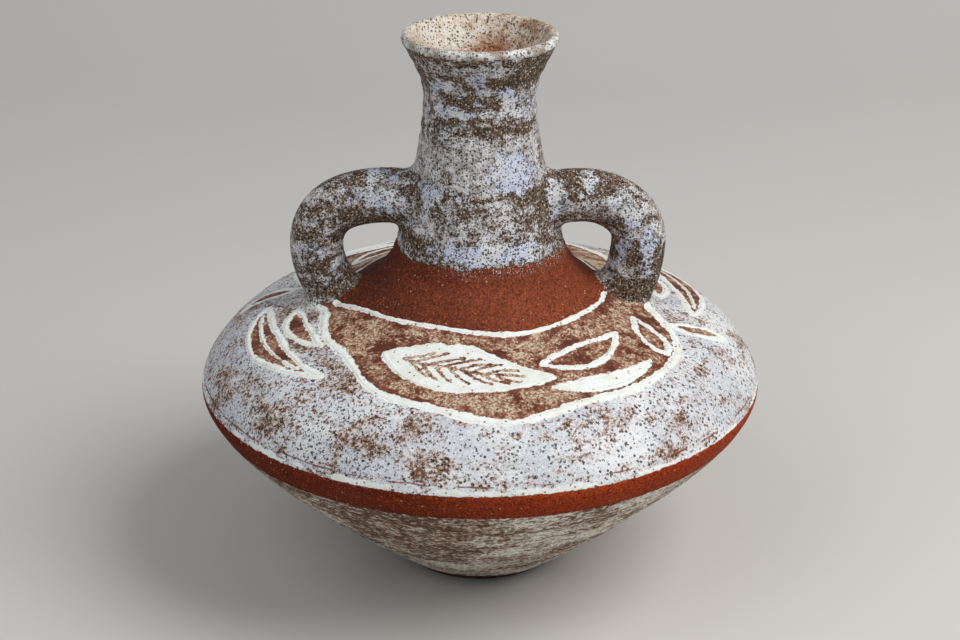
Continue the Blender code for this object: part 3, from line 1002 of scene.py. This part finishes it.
def end_map(start, sides):
    """The same for the two ends of an open bead, as small round forms."""
    turn = azimuths(sides)
    index, way = np.array([[start], [start + 1]]), np.array([[-1.0], [1.0]])
    across = (index % LINE_STEPS + 0.5) / LINE_STEPS + END_SIZE * np.cos(turn)
    return flat(across, (index // LINE_STEPS + 0.5) / LINE_ROWS + END_SIZE * way * np.sin(turn))


# Patches of pale glaze on the neck: azimuth in degrees, height and half sizes in millimetres
NECK_REACH_MM = 42.0
NECK_PATCHES = (
    (32, 213, 12.0, 10.0), (-45, 200, 7.5, 5.5), (-20, 201, 2.6, 3.0),
    (7, 176, 27.0, 5.0), (-36, 254.5, 6.0, 3.0), (-5, 258, 2.6, 2.8),
    (31, 248, 6.0, 5.4), (2, 242, 26.0, 1.7), (96, 232, 9.0, 5.0),
    (128, 205, 12.0, 8.0), (170, 222, 8.0, 5.0), (-150, 196, 11.0, 7.0),
    (-105, 222, 9.0, 4.0), (-170, 251, 9.0, 4.0), (150, 176, 22.0, 4.0),
    (-120, 177, 16.0, 3.5),
)

# Patches on the handles: the middle and the half sizes of an ellipsoid, in millimetres
HANDLE_PATCHES = (
    (-51, -11, 194, 9.5, 9.0, 5.0), (-50, -6, 206, 6.0, 6.0, 3.5),
    (-82, -8, 169, 4.5, 6.0, 5.5), (-67, -12, 158, 6.5, 6.0, 3.6),
    (36, -11, 198, 3.4, 7.0, 6.0), (53, -9, 201, 2.8, 6.0, 3.4),
    (63, -11, 193, 3.4, 6.0, 3.2), (72, -11, 186, 4.6, 6.0, 5.2),
    (70, -12, 169, 3.8, 6.0, 6.0), (61, -12, 157, 5.6, 6.0, 4.2),
    (82, -10, 167, 2.4, 5.0, 6.5), (-78, 11, 185, 8.0, 6.0, 7.0),
    (-56, 12, 199, 7.0, 6.0, 4.0), (-72, 12, 160, 6.0, 6.0, 5.0),
    (80, 11, 180, 6.0, 7.0, 8.0), (55, 12, 200, 8.0, 6.0, 4.0),
    (76, 10, 160, 5.0, 6.0, 4.0),
)


def patch_mm(points):
    """How far inside a patch of pale glaze each point lies."""
    azimuth, radius, height = polar(points)
    on_neck = np.where(radius / MM < NECK_REACH_MM, 0.0, -FAR_MM)
    found = np.full(len(points), -FAR_MM)
    for middle, level, half_wide, half_high in NECK_PATCHES:
        across = angle_between(azimuth, np.radians(middle)) * (radius / MM) / half_wide
        away = np.hypot(across, (height / MM - level) / half_high)
        found = np.maximum(found, (1.0 - away) * min(half_wide, half_high) + on_neck)
    for x, y, z, half_x, half_y, half_z in HANDLE_PATCHES:
        away = (points / MM - (x, y, z)) / (half_x, half_y, half_z)
        found = np.maximum(found, (1.0 - np.linalg.norm(away, axis=1)) * min(half_x, half_z))
    return found


def srgb(red, green, blue):
    """Linear colour of a screen colour."""
    screen = np.array((red, green, blue)) / 255.0
    linear = np.where(screen <= 0.04045, screen / 12.92, ((screen + 0.055) / 1.055) ** 2.4)
    return (*linear.tolist(), 1.0)


Output = namedtuple("Output", "node socket")


class Graph:
    """The nodes of one material, planned first. Each method gives the output that holds its result."""

    def __init__(self, name):
        self.material = bpy.data.materials.new(name)
        self.material.use_nodes = True
        self.plan = []
        self.fields = {}
        self.place = self.add("TexCoord", {}, "Object")

    def add(self, kind, inputs, output=0, **settings):
        self.plan.append((kind, inputs, settings))
        return Output(len(self.plan) - 1, output)

    def build(self, shader_inputs):
        """Makes the nodes, the last one first, so that Cycles has few values to hold at a time."""
        tree = self.material.node_tree
        made = {}
        for number, (kind, _, settings) in reversed(list(enumerate(self.plan))):
            made[number] = tree.nodes.new("ShaderNode" + kind)
            for name, value in settings.items():
                setattr(made[number], name, value)
        wanted = [(made[number], inputs) for number, (_, inputs, _) in enumerate(self.plan)]
        for node, inputs in wanted + [(tree.nodes["Principled BSDF"], shader_inputs)]:
            for key, value in inputs.items():
                if isinstance(value, Output):
                    tree.links.new(made[value.node].outputs[value.socket], node.inputs[key])
                elif value is not None:
                    node.inputs[key].default_value = value

    def math(self, operation, first, second=None, third=None):
        return self.add("Math", {0: first, 1: second, 2: third}, operation=operation)

    def field(self, name):
        """A number stored at the points of the mesh. What isn't a name is given back as it is."""
        if isinstance(name, Output):
            return name
        if name not in self.fields:
            self.fields[name] = self.add("Attribute", {}, "Fac", attribute_name=name)
        return self.fields[name]

    def axis(self, index):
        if "place" not in self.fields:
            self.fields["place"] = self.add("SeparateXYZ", {0: self.place})
        return Output(self.fields["place"].node, index)

    def stretched(self, stretch, seed):
        """The place with its level and its upright lengths stretched, and shifted by the seed."""
        shift = [step * seed for step in SEED_SHIFT]
        inputs = {0: self.place, 1: (stretch[0], *stretch), 2: shift}
        return self.add("VectorMath", inputs, operation="MULTIPLY_ADD")

    def noise(self, scale, detail, seed, rough=0.55, stretch=(1.0, 1.0)):
        place = self.stretched(stretch, seed)
        inputs = {"Vector": place, "Scale": scale, "Detail": detail, "Roughness": rough}
        return self.add("TexNoise", inputs)

    def cells(self, scale, seed, stretch):
        """Distance to the nearest of scattered points, and a random number for that point."""
        inputs = {"Vector": self.stretched(stretch, seed), "Scale": scale}
        away = self.add("TexVoronoi", inputs, "Distance")
        return away, self.add("SeparateColor", {0: Output(away.node, "Color")})

    def step(self, value, low, high, start=0.0, end=1.0):
        inputs = {0: value, 1: low, 2: high, 3: start, 4: end}
        return self.add("MapRange", inputs, interpolation_type="SMOOTHSTEP")

    def mix(self, factor, first, second):
        first, second = (c if isinstance(c, Output) else srgb(*c) for c in (first, second))
        return self.add("Mix", {0: factor, 6: first, 7: second}, 2, data_type="RGBA")

    def blend(self, factor, first, second):
        """A number between two numbers."""
        return self.add("Mix", {0: factor, 2: first, 3: second})

    def both(self, first, second):
        return self.math("MULTIPLY", first, second)

    def most(self, first, second):
        return self.math("MAXIMUM", first, second)

    def sum(self, first, *more):
        """The first value, plus each of the others times the weight that follows it."""
        for value, weight in zip(more[::2], more[1::2]):
            first = self.math("MULTIPLY_ADD", value, weight, first)
        return first

    def between(self, value, low, high, soft):
        """From 0 to 1 between two levels, over a soft edge at each."""
        up = self.step(value, low - soft, low + soft)
        return self.both(up, self.step(value, high + soft, high - soft))

    def specks(self, scale, size, share, seed, stretch=(1.0, 1.0)):
        """Small round dots of many sizes in a share of the cells."""
        away, pick = self.cells(scale, seed, stretch)
        inside = self.sum(1.1 * size, pick, -0.6 * size / share, away, -1.0)
        dots = self.step(inside, -0.2 * size, 0.2 * size)
        return self.both(dots, self.math("LESS_THAN", pick, share))

    def chips(self, scale, share, seed, stretch=(1.0, 1.0)):
        """Small rough flakes, filling a share of the cells that may differ from place to place."""
        away, pick = self.cells(scale, seed, stretch)
        chips = self.step(self.sum(share, pick, -1.0), 0.0, 0.08)
        return self.both(chips, self.step(away, 0.72, 0.52))

    def paint(self, colour, *layers):
        """The colour under layers of other colours, each with its mask and its strength."""
        for mask, strength, layer in layers:
            colour = self.mix(self.both(mask, strength), colour, layer)
        return colour

    def sandy(self, colour, amount):
        """The colour made lighter and darker by the finest grain."""
        if "sand" not in self.fields:
            self.fields["sand"] = self.noise(1350, 2, 46)
        value = self.step(self.fields["sand"], 0.3, 0.7, 1 - amount, 1 + amount)
        return self.add("HueSaturation", {"Value": value, "Color": colour})

    def over(self, factor, top, under):
        """One finish over another, each a colour, a roughness and a height."""
        colour = self.mix(factor, under[0], top[0])
        return (colour, *(self.blend(factor, low, high) for low, high in zip(under[1:], top[1:])))

    def coat(self, under, top, distance, amount, scale, seed, soft=0.22):
        """One finish over another where the distance is above 0, its edge torn by noise."""
        noise = self.noise(scale, 3, seed)
        inside = self.sum(self.field(distance), noise, 2.0 * amount, -amount, 1.0)
        return self.over(self.step(inside, -soft, soft), top, under)

    def finish(self, finish, depth_mm):
        """The material with this finish, its height as a relief of this depth."""
        colour, roughness, height = finish
        bump = {"Strength": 1.0, "Distance": depth_mm * MM, "Height": height}
        inputs = {
            "Base Color": colour,
            "Roughness": roughness,
            "Specular IOR Level": self.step(roughness, 0.40, 0.70, 0.30, 0.06),
            "Normal": self.add("Bump", bump),
        }
        self.build(inputs)
        return self.material


def ground(g):
    """Grey white with lavender and warm clouds, peppered all over with brown and near-black."""
    cloud = g.noise(30, 3, 1)
    haze = g.noise(60, 5, 2, 0.66, (0.65, 1.1))
    clump = g.noise(180, 4, 47, 0.62, (0.8, 1.1))
    pepper = g.noise(590, 4, 3, 0.62)
    under = g.sum(haze, clump, 0.6, g.step(g.axis(0), 0.10, -0.05, -0.025, 0.025), 1.0)
    value = g.sum(pepper, under, 0.8, clump, 0.12)
    crumbs = g.chips(640, g.step(under, 0.80, 1.06, 0.0, 0.75), 60, (0.9, 1.1))
    stain = g.most(g.step(value, 1.35, 1.42), g.both(crumbs, 0.85))
    salt = g.chips(1150, g.step(haze, 0.44, 0.66, 0.06, 0.44), 58)
    crowd = g.sum(g.step(g.axis(0), 0.06, -0.08, 0.30, 0.70), clump, 0.9)
    grit = g.both(g.specks(860, 0.44, 0.9, 59), g.step(crowd, 0.90, 1.10))
    dots = g.both(g.most(g.specks(560, 0.42, 0.8, 5), grit), g.step(pepper, 0.43, 0.53))
    colour = g.paint(
        g.mix(g.step(cloud, 0.38, 0.62), (199, 203, 210), (223, 226, 228)),
        (g.step(under, 0.78, 0.96), 0.6, (196, 180, 172)),
        (g.step(value, 1.25, 1.33), 0.85, (152, 113, 84)),
        (stain, 0.9, (104, 69, 45)),
        (g.specks(950, 0.46, 0.55, 57), 0.6, (241, 242, 244)),
        (salt, 0.6, (140, 114, 98)),
        (dots, 0.92, (50, 37, 30)),
    )
    roughness = g.blend(stain, g.step(cloud, 0.3, 0.7, 0.32, 0.46), 0.60)
    return g.sandy(colour, 0.12), roughness, g.sum(g.both(pepper, 0.8), stain, -0.3, dots, -0.6)


def brown(g):
    """Iron brown, plain beside the lines and clouded with greenish beige away from them."""
    haze = g.noise(85, 5, 6, 0.66, (0.75, 1.1))
    flake = g.noise(300, 5, 55, 0.70, (0.8, 1.1))
    grain = g.noise(760, 3, 7, 0.6)
    inside = g.step(g.field("line_mm"), -1.0, -6.0)
    value = g.sum(haze, flake, 0.8, grain, 0.7, inside, 0.12)
    colour = g.paint(
        g.mix(g.step(g.sum(haze, flake, 0.6), 0.66, 0.94), (98, 55, 41), (148, 94, 72)),
        (g.step(value, 1.28, 1.34), 0.65, (172, 136, 111)),
        (g.chips(820, g.step(value, 1.31, 1.46, 0.0, 0.85), 61), 0.9, (206, 192, 168)),
        (g.step(grain, 0.48, 0.38), 0.5, (72, 38, 27)),
    )
    height = g.sum(g.both(grain, 0.7), flake, 0.7)
    return g.sandy(colour, 0.24), g.step(haze, 0.35, 0.65, 0.62, 0.48), height


def rust(g):
    """Red iron slip, fine and dark in its grain, with a few pale flecks, darker on the left as painted
    shade.
    """
    sweep = g.noise(40, 5, 9, 0.6, (0.4, 1.4))
    grain = g.noise(820, 3, 10, 0.65)
    side = g.step(g.axis(0), -0.06, 0.05)
    # Painted shade: each rust colour is darker on the left side and lighter on the right, as the light
    # falls
    plain, bright, belt = (g.mix(side, left, right) for left, right in RUST_SHADED_LEFT_LIT_RIGHT)
    low = g.step(g.axis(2), *BELT_SHADE)
    edge = g.step(g.axis(2), *BELT_EDGE)
    flecks = g.specks(520, 0.24, 0.10, 11)
    colour = g.mix(g.step(sweep, 0.42, 0.68), plain, bright)
    colour = g.paint(colour, (low, 0.5, belt), (edge, 0.35, (64, 26, 12)))
    colour = g.paint(
        g.mix(g.sum(0.30, low, -0.30), colour, (106, 74, 60)),
        (g.step(grain, 0.46, 0.62), 0.62, (60, 25, 14)),
        (g.specks(760, 0.42, 0.4, 49), 0.4, (188, 98, 60)),
        (flecks, 0.75, (206, 172, 154)),
    )
    height = g.sum(g.both(grain, 0.9), flecks, 0.6)
    return g.sandy(colour, 0.32), g.step(sweep, 0.3, 0.7, 0.80, 0.64), height


def cream(g):
    """Thick white slip under clear glaze, pitted here and there."""
    grain = g.noise(560, 3, 12, 0.6)
    pits = g.specks(520, 0.30, 0.22, 45)
    colour = g.paint(
        g.mix(g.step(g.noise(120, 3, 13), 0.36, 0.64), (242, 247, 244), (233, 236, 227)),
        (g.step(grain, 0.56, 0.72), 0.5, (200, 188, 172)),
        (pits, 0.75, (120, 92, 74)),
    )
    return g.sandy(colour, 0.06), 0.36, g.sum(g.both(grain, 0.8), pits, -0.8)


def frieze(g):
    """The shoulder: ground, brown fields, scratched white leaves, rust belt and collar."""
    finish = ground(g)
    height = g.both(g.axis(2), 1000.0)
    noise = g.noise(260, 3, 14, 0.55, (0.5, 1.0))
    broken = g.noise(70, 3, 15, 0.55, (0.6, 1.0))
    dry = g.noise(420, 3, 56, 0.65, (0.3, 1.0))
    iron, earth, white = rust(g), brown(g), cream(g)
    for level, low in SCRATCH_LINES:
        scratch = g.sum(height, noise, 2.0, -SCRATCH_HEIGHT / MM - level - 1.0, 1.0)
        scratch = g.sum(g.math("ABSOLUTE", scratch), dry, 1.4)
        mark = g.both(g.step(scratch, 1.25, 0.8), g.step(broken, low, low + 0.06))
        finish = g.over(g.both(mark, 0.85), iron, finish)
    finish = g.coat(finish, earth, "brown_mm", 0.9, 360, 16)
    finish = g.coat(finish, white, "white_mm", 1.0, 300, 17)
    finish = g.coat(finish, white, g.sum(g.field("line_mm"), 0.15, 1.0), 1.5, 420, 18)
    top = g.sum(CREAM_HIGH / MM, g.step(g.axis(0), 0.03, 0.11), -1.3)
    belt = g.math("MINIMUM", g.sum(height, -BELT_HIGH / MM, 1.0), g.sum(top, height, -1.0))
    bites = g.sum(belt, g.step(broken, 0.45, 0.58), -1.9)
    finish = g.coat(finish, white, bites, 1.7, 420, 19)
    finish = g.coat(finish, earth, "scratch_mm", 1.5, 420, 20, 0.2)
    return g.coat(finish, iron, "rust_mm", 1.0, 340, 21)


def dark_glaze(g):
    """Olive brown and grey white clouded together, with lavender pools and dark pits all over."""
    band = g.noise(62, 6, 22, 0.68, (0.34, 1.4))
    haze = g.noise(210, 6, 23, 0.74)
    grain = g.noise(900, 3, 24, 0.65)
    drift = g.sum(g.both(haze, 22.0), g.noise(95, 3, 48, 0.55, (0.8, 1.2)), 16.0, -19.0, 1.0)
    pool = g.step(g.sum(g.field("patch_mm"), drift, 1.0, grain, 4.0), 0.6, 2.4)
    out = g.step(g.math("ABSOLUTE", g.axis(0)), 0.036, 0.050)
    under_lip = g.step(g.axis(2), *UNDER_LIP)
    level = g.sum(g.axis(2), band, 0.012)
    thick = g.between(level, *THICK_GLAZE, 0.002)
    thin = g.between(level, *THIN_GLAZE, 0.002)
    rings = g.both(g.sum(thick, thin, -2.4), g.sum(1.0, out, -1.0))
    value = g.sum(g.both(band, 1.3), haze, 0.75, grain, 0.5, -0.15, 1.0, pool, 0.10, out, -0.07)
    value = g.sum(value, rings, 0.04, under_lip, -0.13)
    pale = g.mix(g.step(haze, 0.38, 0.62), (160, 153, 147), (222, 222, 224))
    wet = g.mix(g.step(g.noise(50, 2, 50), 0.46, 0.60), (198, 207, 228), (217, 219, 222))
    pits = g.specks(780, 0.44, 0.62, 25)
    colour = g.paint(
        g.mix(g.step(grain, 0.38, 0.62), (66, 53, 43), (130, 110, 92)),
        (g.step(value, 1.03, 1.20), 0.95, pale),
        (pool, 0.92, wet),
        (g.specks(900, 0.42, 0.5, 43), 0.6, (232, 228, 222)),
        (g.most(pits, g.specks(1150, 0.44, 0.45, 51)), 0.86, (48, 38, 33)),
    )
    roughness = g.blend(pool, g.step(value, 0.95, 1.2, 0.66, 0.46), 0.30)
    height = g.sum(g.both(grain, 0.8), haze, 0.8, pits, -0.7, pool, 0.3)
    return g.sandy(colour, 0.2), roughness, height


def mouth(g):
    """Inside of the neck: cream with tan mottling, dark specks and a rust run."""
    haze = g.noise(75, 6, 26, 0.68)
    grain = g.noise(640, 3, 27, 0.6)
    value = g.sum(haze, grain, 0.5, g.step(g.axis(0), 0.004, 0.030), 0.07)
    low = g.both(g.step(g.field("inside_mm"), 11.0, 21.0), g.step(haze, 0.40, 0.54))
    dots = g.most(g.specks(470, 0.28, 0.6, 28), g.specks(760, 0.36, 0.75, 52))
    colour = g.mix(g.step(value, 0.66, 0.90), (219, 214, 202), (194, 170, 145))
    colour = g.paint(colour, (g.step(value, 0.80, 0.92), 0.7, (148, 114, 86)))
    run = g.mix(g.step(grain, 0.4, 0.6), (178, 104, 46), (140, 80, 38))
    colour = g.paint(g.mix(low, colour, run), (dots, 0.85, (70, 52, 42)))
    return g.sandy(colour, 0.16), 0.34, g.sum(g.both(grain, 0.7), dots, -0.6)


def lip_white(g):
    """Grey-white glaze run thin over the rim."""
    haze = g.noise(150, 5, 29, 0.66)
    dots = g.most(g.specks(600, 0.36, 0.6, 30), g.specks(900, 0.42, 0.6, 53))
    colour = g.mix(g.step(haze, 0.40, 0.60), (222, 224, 221), (164, 150, 138))
    colour = g.paint(colour, (dots, 0.85, (60, 46, 40)))
    return g.sandy(colour, 0.14), 0.34, g.sum(haze, dots, -0.6)


def lining(g):
    """Bare warm clay, as it is inside."""
    haze = g.noise(60, 4, 35)
    return g.mix(g.step(haze, 0.4, 0.6), (150, 108, 78), (178, 140, 104)), 0.7, haze


def clay_darkened_as_painted_shade(g):
    """The clay of the foot, made dark as painted shade for where it sits in shadow under the vase."""
    haze = g.noise(180, 5, 42, 0.65)
    colour = g.mix(g.step(haze, 0.38, 0.62), (58, 46, 40), (88, 70, 58))
    return colour, g.step(haze, 0.3, 0.7, 0.78, 0.90), haze


def streaks(g):
    """Fine brushed streaks of grey-white and brown round the cone, browner on the left as painted
    shade.
    """
    streak = g.noise(420, 6, 36, 0.74, (0.26, 1.0))
    wide = g.noise(120, 4, 37, 0.6, (0.20, 1.0))
    grain = g.noise(660, 4, 39, 0.70, (0.6, 1.0))
    value = g.sum(g.both(streak, 0.75), wide, 0.75, g.noise(26, 3, 38), 0.85, grain, 1.35)
    # Painted shade: browner on the left side of the cone; it also turns browner towards the top
    value = g.sum(value, g.axis(2), 1.6, g.step(g.axis(0), -0.05, 0.03), -0.14)
    pale = g.step(g.noise(560, 3, 40, 0.6, (0.5, 1.0)), 0.53, 0.62)
    colour = g.paint(
        g.mix(g.step(value, 1.64, 1.87), (226, 221, 211), (142, 115, 94)),
        (g.step(value, 1.81, 1.99), 0.9, (84, 56, 38)),
        (pale, 0.62, (222, 217, 207)),
        (g.specks(620, 0.44, 0.6, 54, (0.6, 1.0)), 0.5, (66, 46, 36)),
    )
    height = g.sum(g.both(streak, 0.8), grain, 0.6, wide, 0.5)
    return g.sandy(colour, 0.34), g.step(streak, 0.3, 0.7, 0.50, 0.66), height


def neck_finish(g):
    mist = g.both(g.step(g.field("glaze_mm"), -7.0, 0.0), g.specks(1150, 0.44, 0.7, 44))
    finish = g.over(g.both(mist, g.step(g.axis(0), -0.03, 0.02)), lip_white(g), rust(g))
    finish = g.coat(finish, dark_glaze(g), "glaze_mm", 2.2, 260, 31, 0.3)
    finish = g.coat(finish, lip_white(g), "lip_mm", 2.2, 210, 32, 0.4)
    return g.coat(finish, mouth(g), "inside_mm", 1.2, 220, 33, 0.8)


def handle_finish(g):
    """The dark glaze, and under its edge at the foot a simpler form of the shoulder's finish: brown,
    rust and cream lines over grey white.
    """
    seat = g.coat(lip_white(g), brown(g), "brown_mm", 0.9, 360, 16)
    seat = g.coat(seat, rust(g), "rust_mm", 1.0, 340, 21)
    seat = g.coat(seat, cream(g), "line_mm", 1.5, 420, 18)
    return g.coat(seat, dark_glaze(g), "glaze_mm", 2.2, 300, 34, 0.3)


def shoulder_finish(g):
    return g.over(g.field("inner"), lining(g), frieze(g))


def bowl_finish(g):
    finish = g.coat(streaks(g), rust(g), "belt_mm", 1.3, 380, 41, 0.5)
    finish = g.over(g.field("inner"), lining(g), finish)
    # The underside takes the foot's clay, darkened as painted shade
    return g.over(g.field("under"), clay_darkened_as_painted_shade(g), finish)


def material(name, finish, depth_mm):
    g = Graph(name)
    return g.finish(finish(g), depth_mm)


def placed(name, data, place, turn):
    obj = bpy.data.objects.new(name, data)
    obj.location = place
    obj.rotation_euler = turn
    bpy.context.scene.collection.objects.link(obj)
    return obj


def add_light(name, place, size, power, colour):
    light = bpy.data.lights.new(name, "AREA")
    light.shape = "DISK"
    light.size = size
    light.energy = power
    light.color = colour
    aim = Vector(LIGHT_AIM) - Vector(place)
    placed(name, light, place, aim.to_track_quat("-Z", "Y").to_euler())


def plain_floor(g):
    haze = g.noise(3, 2, 0)
    return g.mix(haze, (206, 204, 200), (212, 210, 206)), 0.75, haze


def add_floor():
    """A pale sweep: flat under the vase, then curving up behind it."""
    turn = np.radians(np.linspace(0.0, 90.0, 25))
    bend = [SWEEP_BEND * (np.sin(turn) - 1.0) + SWEEP_BACK, SWEEP_BEND * (1.0 - np.cos(turn))]
    line = [(-SWEEP_FRONT, 0.0), *zip(*bend), (SWEEP_BACK, SWEEP_TOP)]
    points = [(side * SWEEP_SIDE, y, z) for y, z in line for side in (-1, 1)]
    faces = [(2 * k, 2 * k + 1, 2 * k + 3, 2 * k + 2) for k in range(len(line) - 1)]
    floor = mesh_object("floor", points, faces, {}, material("pale_floor", plain_floor, 0.2))


def add_camera():
    camera = bpy.data.cameras.new("camera")
    camera.lens = CAMERA_LENS
    camera.sensor_width = SENSOR_WIDTH
    turn = (np.radians(CAMERA_TILT), 0.0, 0.0)
    bpy.context.scene.camera = placed("camera", camera, CAMERA_PLACE, turn)


def add_lights():
    scene = bpy.context.scene
    world = bpy.data.worlds.new("studio")
    world.use_nodes = True
    shade = world.node_tree.nodes["Background"]
    shade.inputs[0].default_value = srgb(*SKY)
    shade.inputs[1].default_value = SKY_POWER
    scene.world = world
    scene.view_settings.view_transform = "Standard"
    for light in LIGHTS:
        add_light(*light)


def dress():
    """Every piece of the vase, each in the place of its solid."""
    trails = slip_trails()
    strokes = scratches()
    dark = material("dark_glaze_on_handles", handle_finish, 0.5)
    pieces = (
        (build_foot_ring(), "foot_ring", "dark_clay"),
        (build_bowl(), "lower_bowl", "streaked_glaze"),
        (build_shoulder(trails, strokes), "shoulder", "speckled_glaze"),
        (build_neck(), "neck", "dark_glaze"),
        (build_handle("handle_left_glazed", LEFT, dark, trails), "handle_left", "handle_glaze"),
        (build_handle("handle_right_glazed", RIGHT, dark, trails), "handle_right", "handle_glaze"),
        (build_slip(trails), None, "speckled_glaze"),
    )
    for piece, node, slot in pieces:
        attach(piece, "root")
        if node:
            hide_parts(node)
    clay = material("raw_clay_in_seams", lining, 0.3)
    for name in ("belly_seam_coil", "neck_seam_coil"):
        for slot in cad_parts[name].material_slots:
            slot.material = clay


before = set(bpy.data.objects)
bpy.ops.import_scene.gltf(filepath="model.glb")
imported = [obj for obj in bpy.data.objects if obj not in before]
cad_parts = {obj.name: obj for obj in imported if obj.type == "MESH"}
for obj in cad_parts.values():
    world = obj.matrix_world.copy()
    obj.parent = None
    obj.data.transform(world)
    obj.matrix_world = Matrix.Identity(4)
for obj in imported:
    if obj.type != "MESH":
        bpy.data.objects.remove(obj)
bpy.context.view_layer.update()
dress()
add_floor()
add_camera()
add_lights()
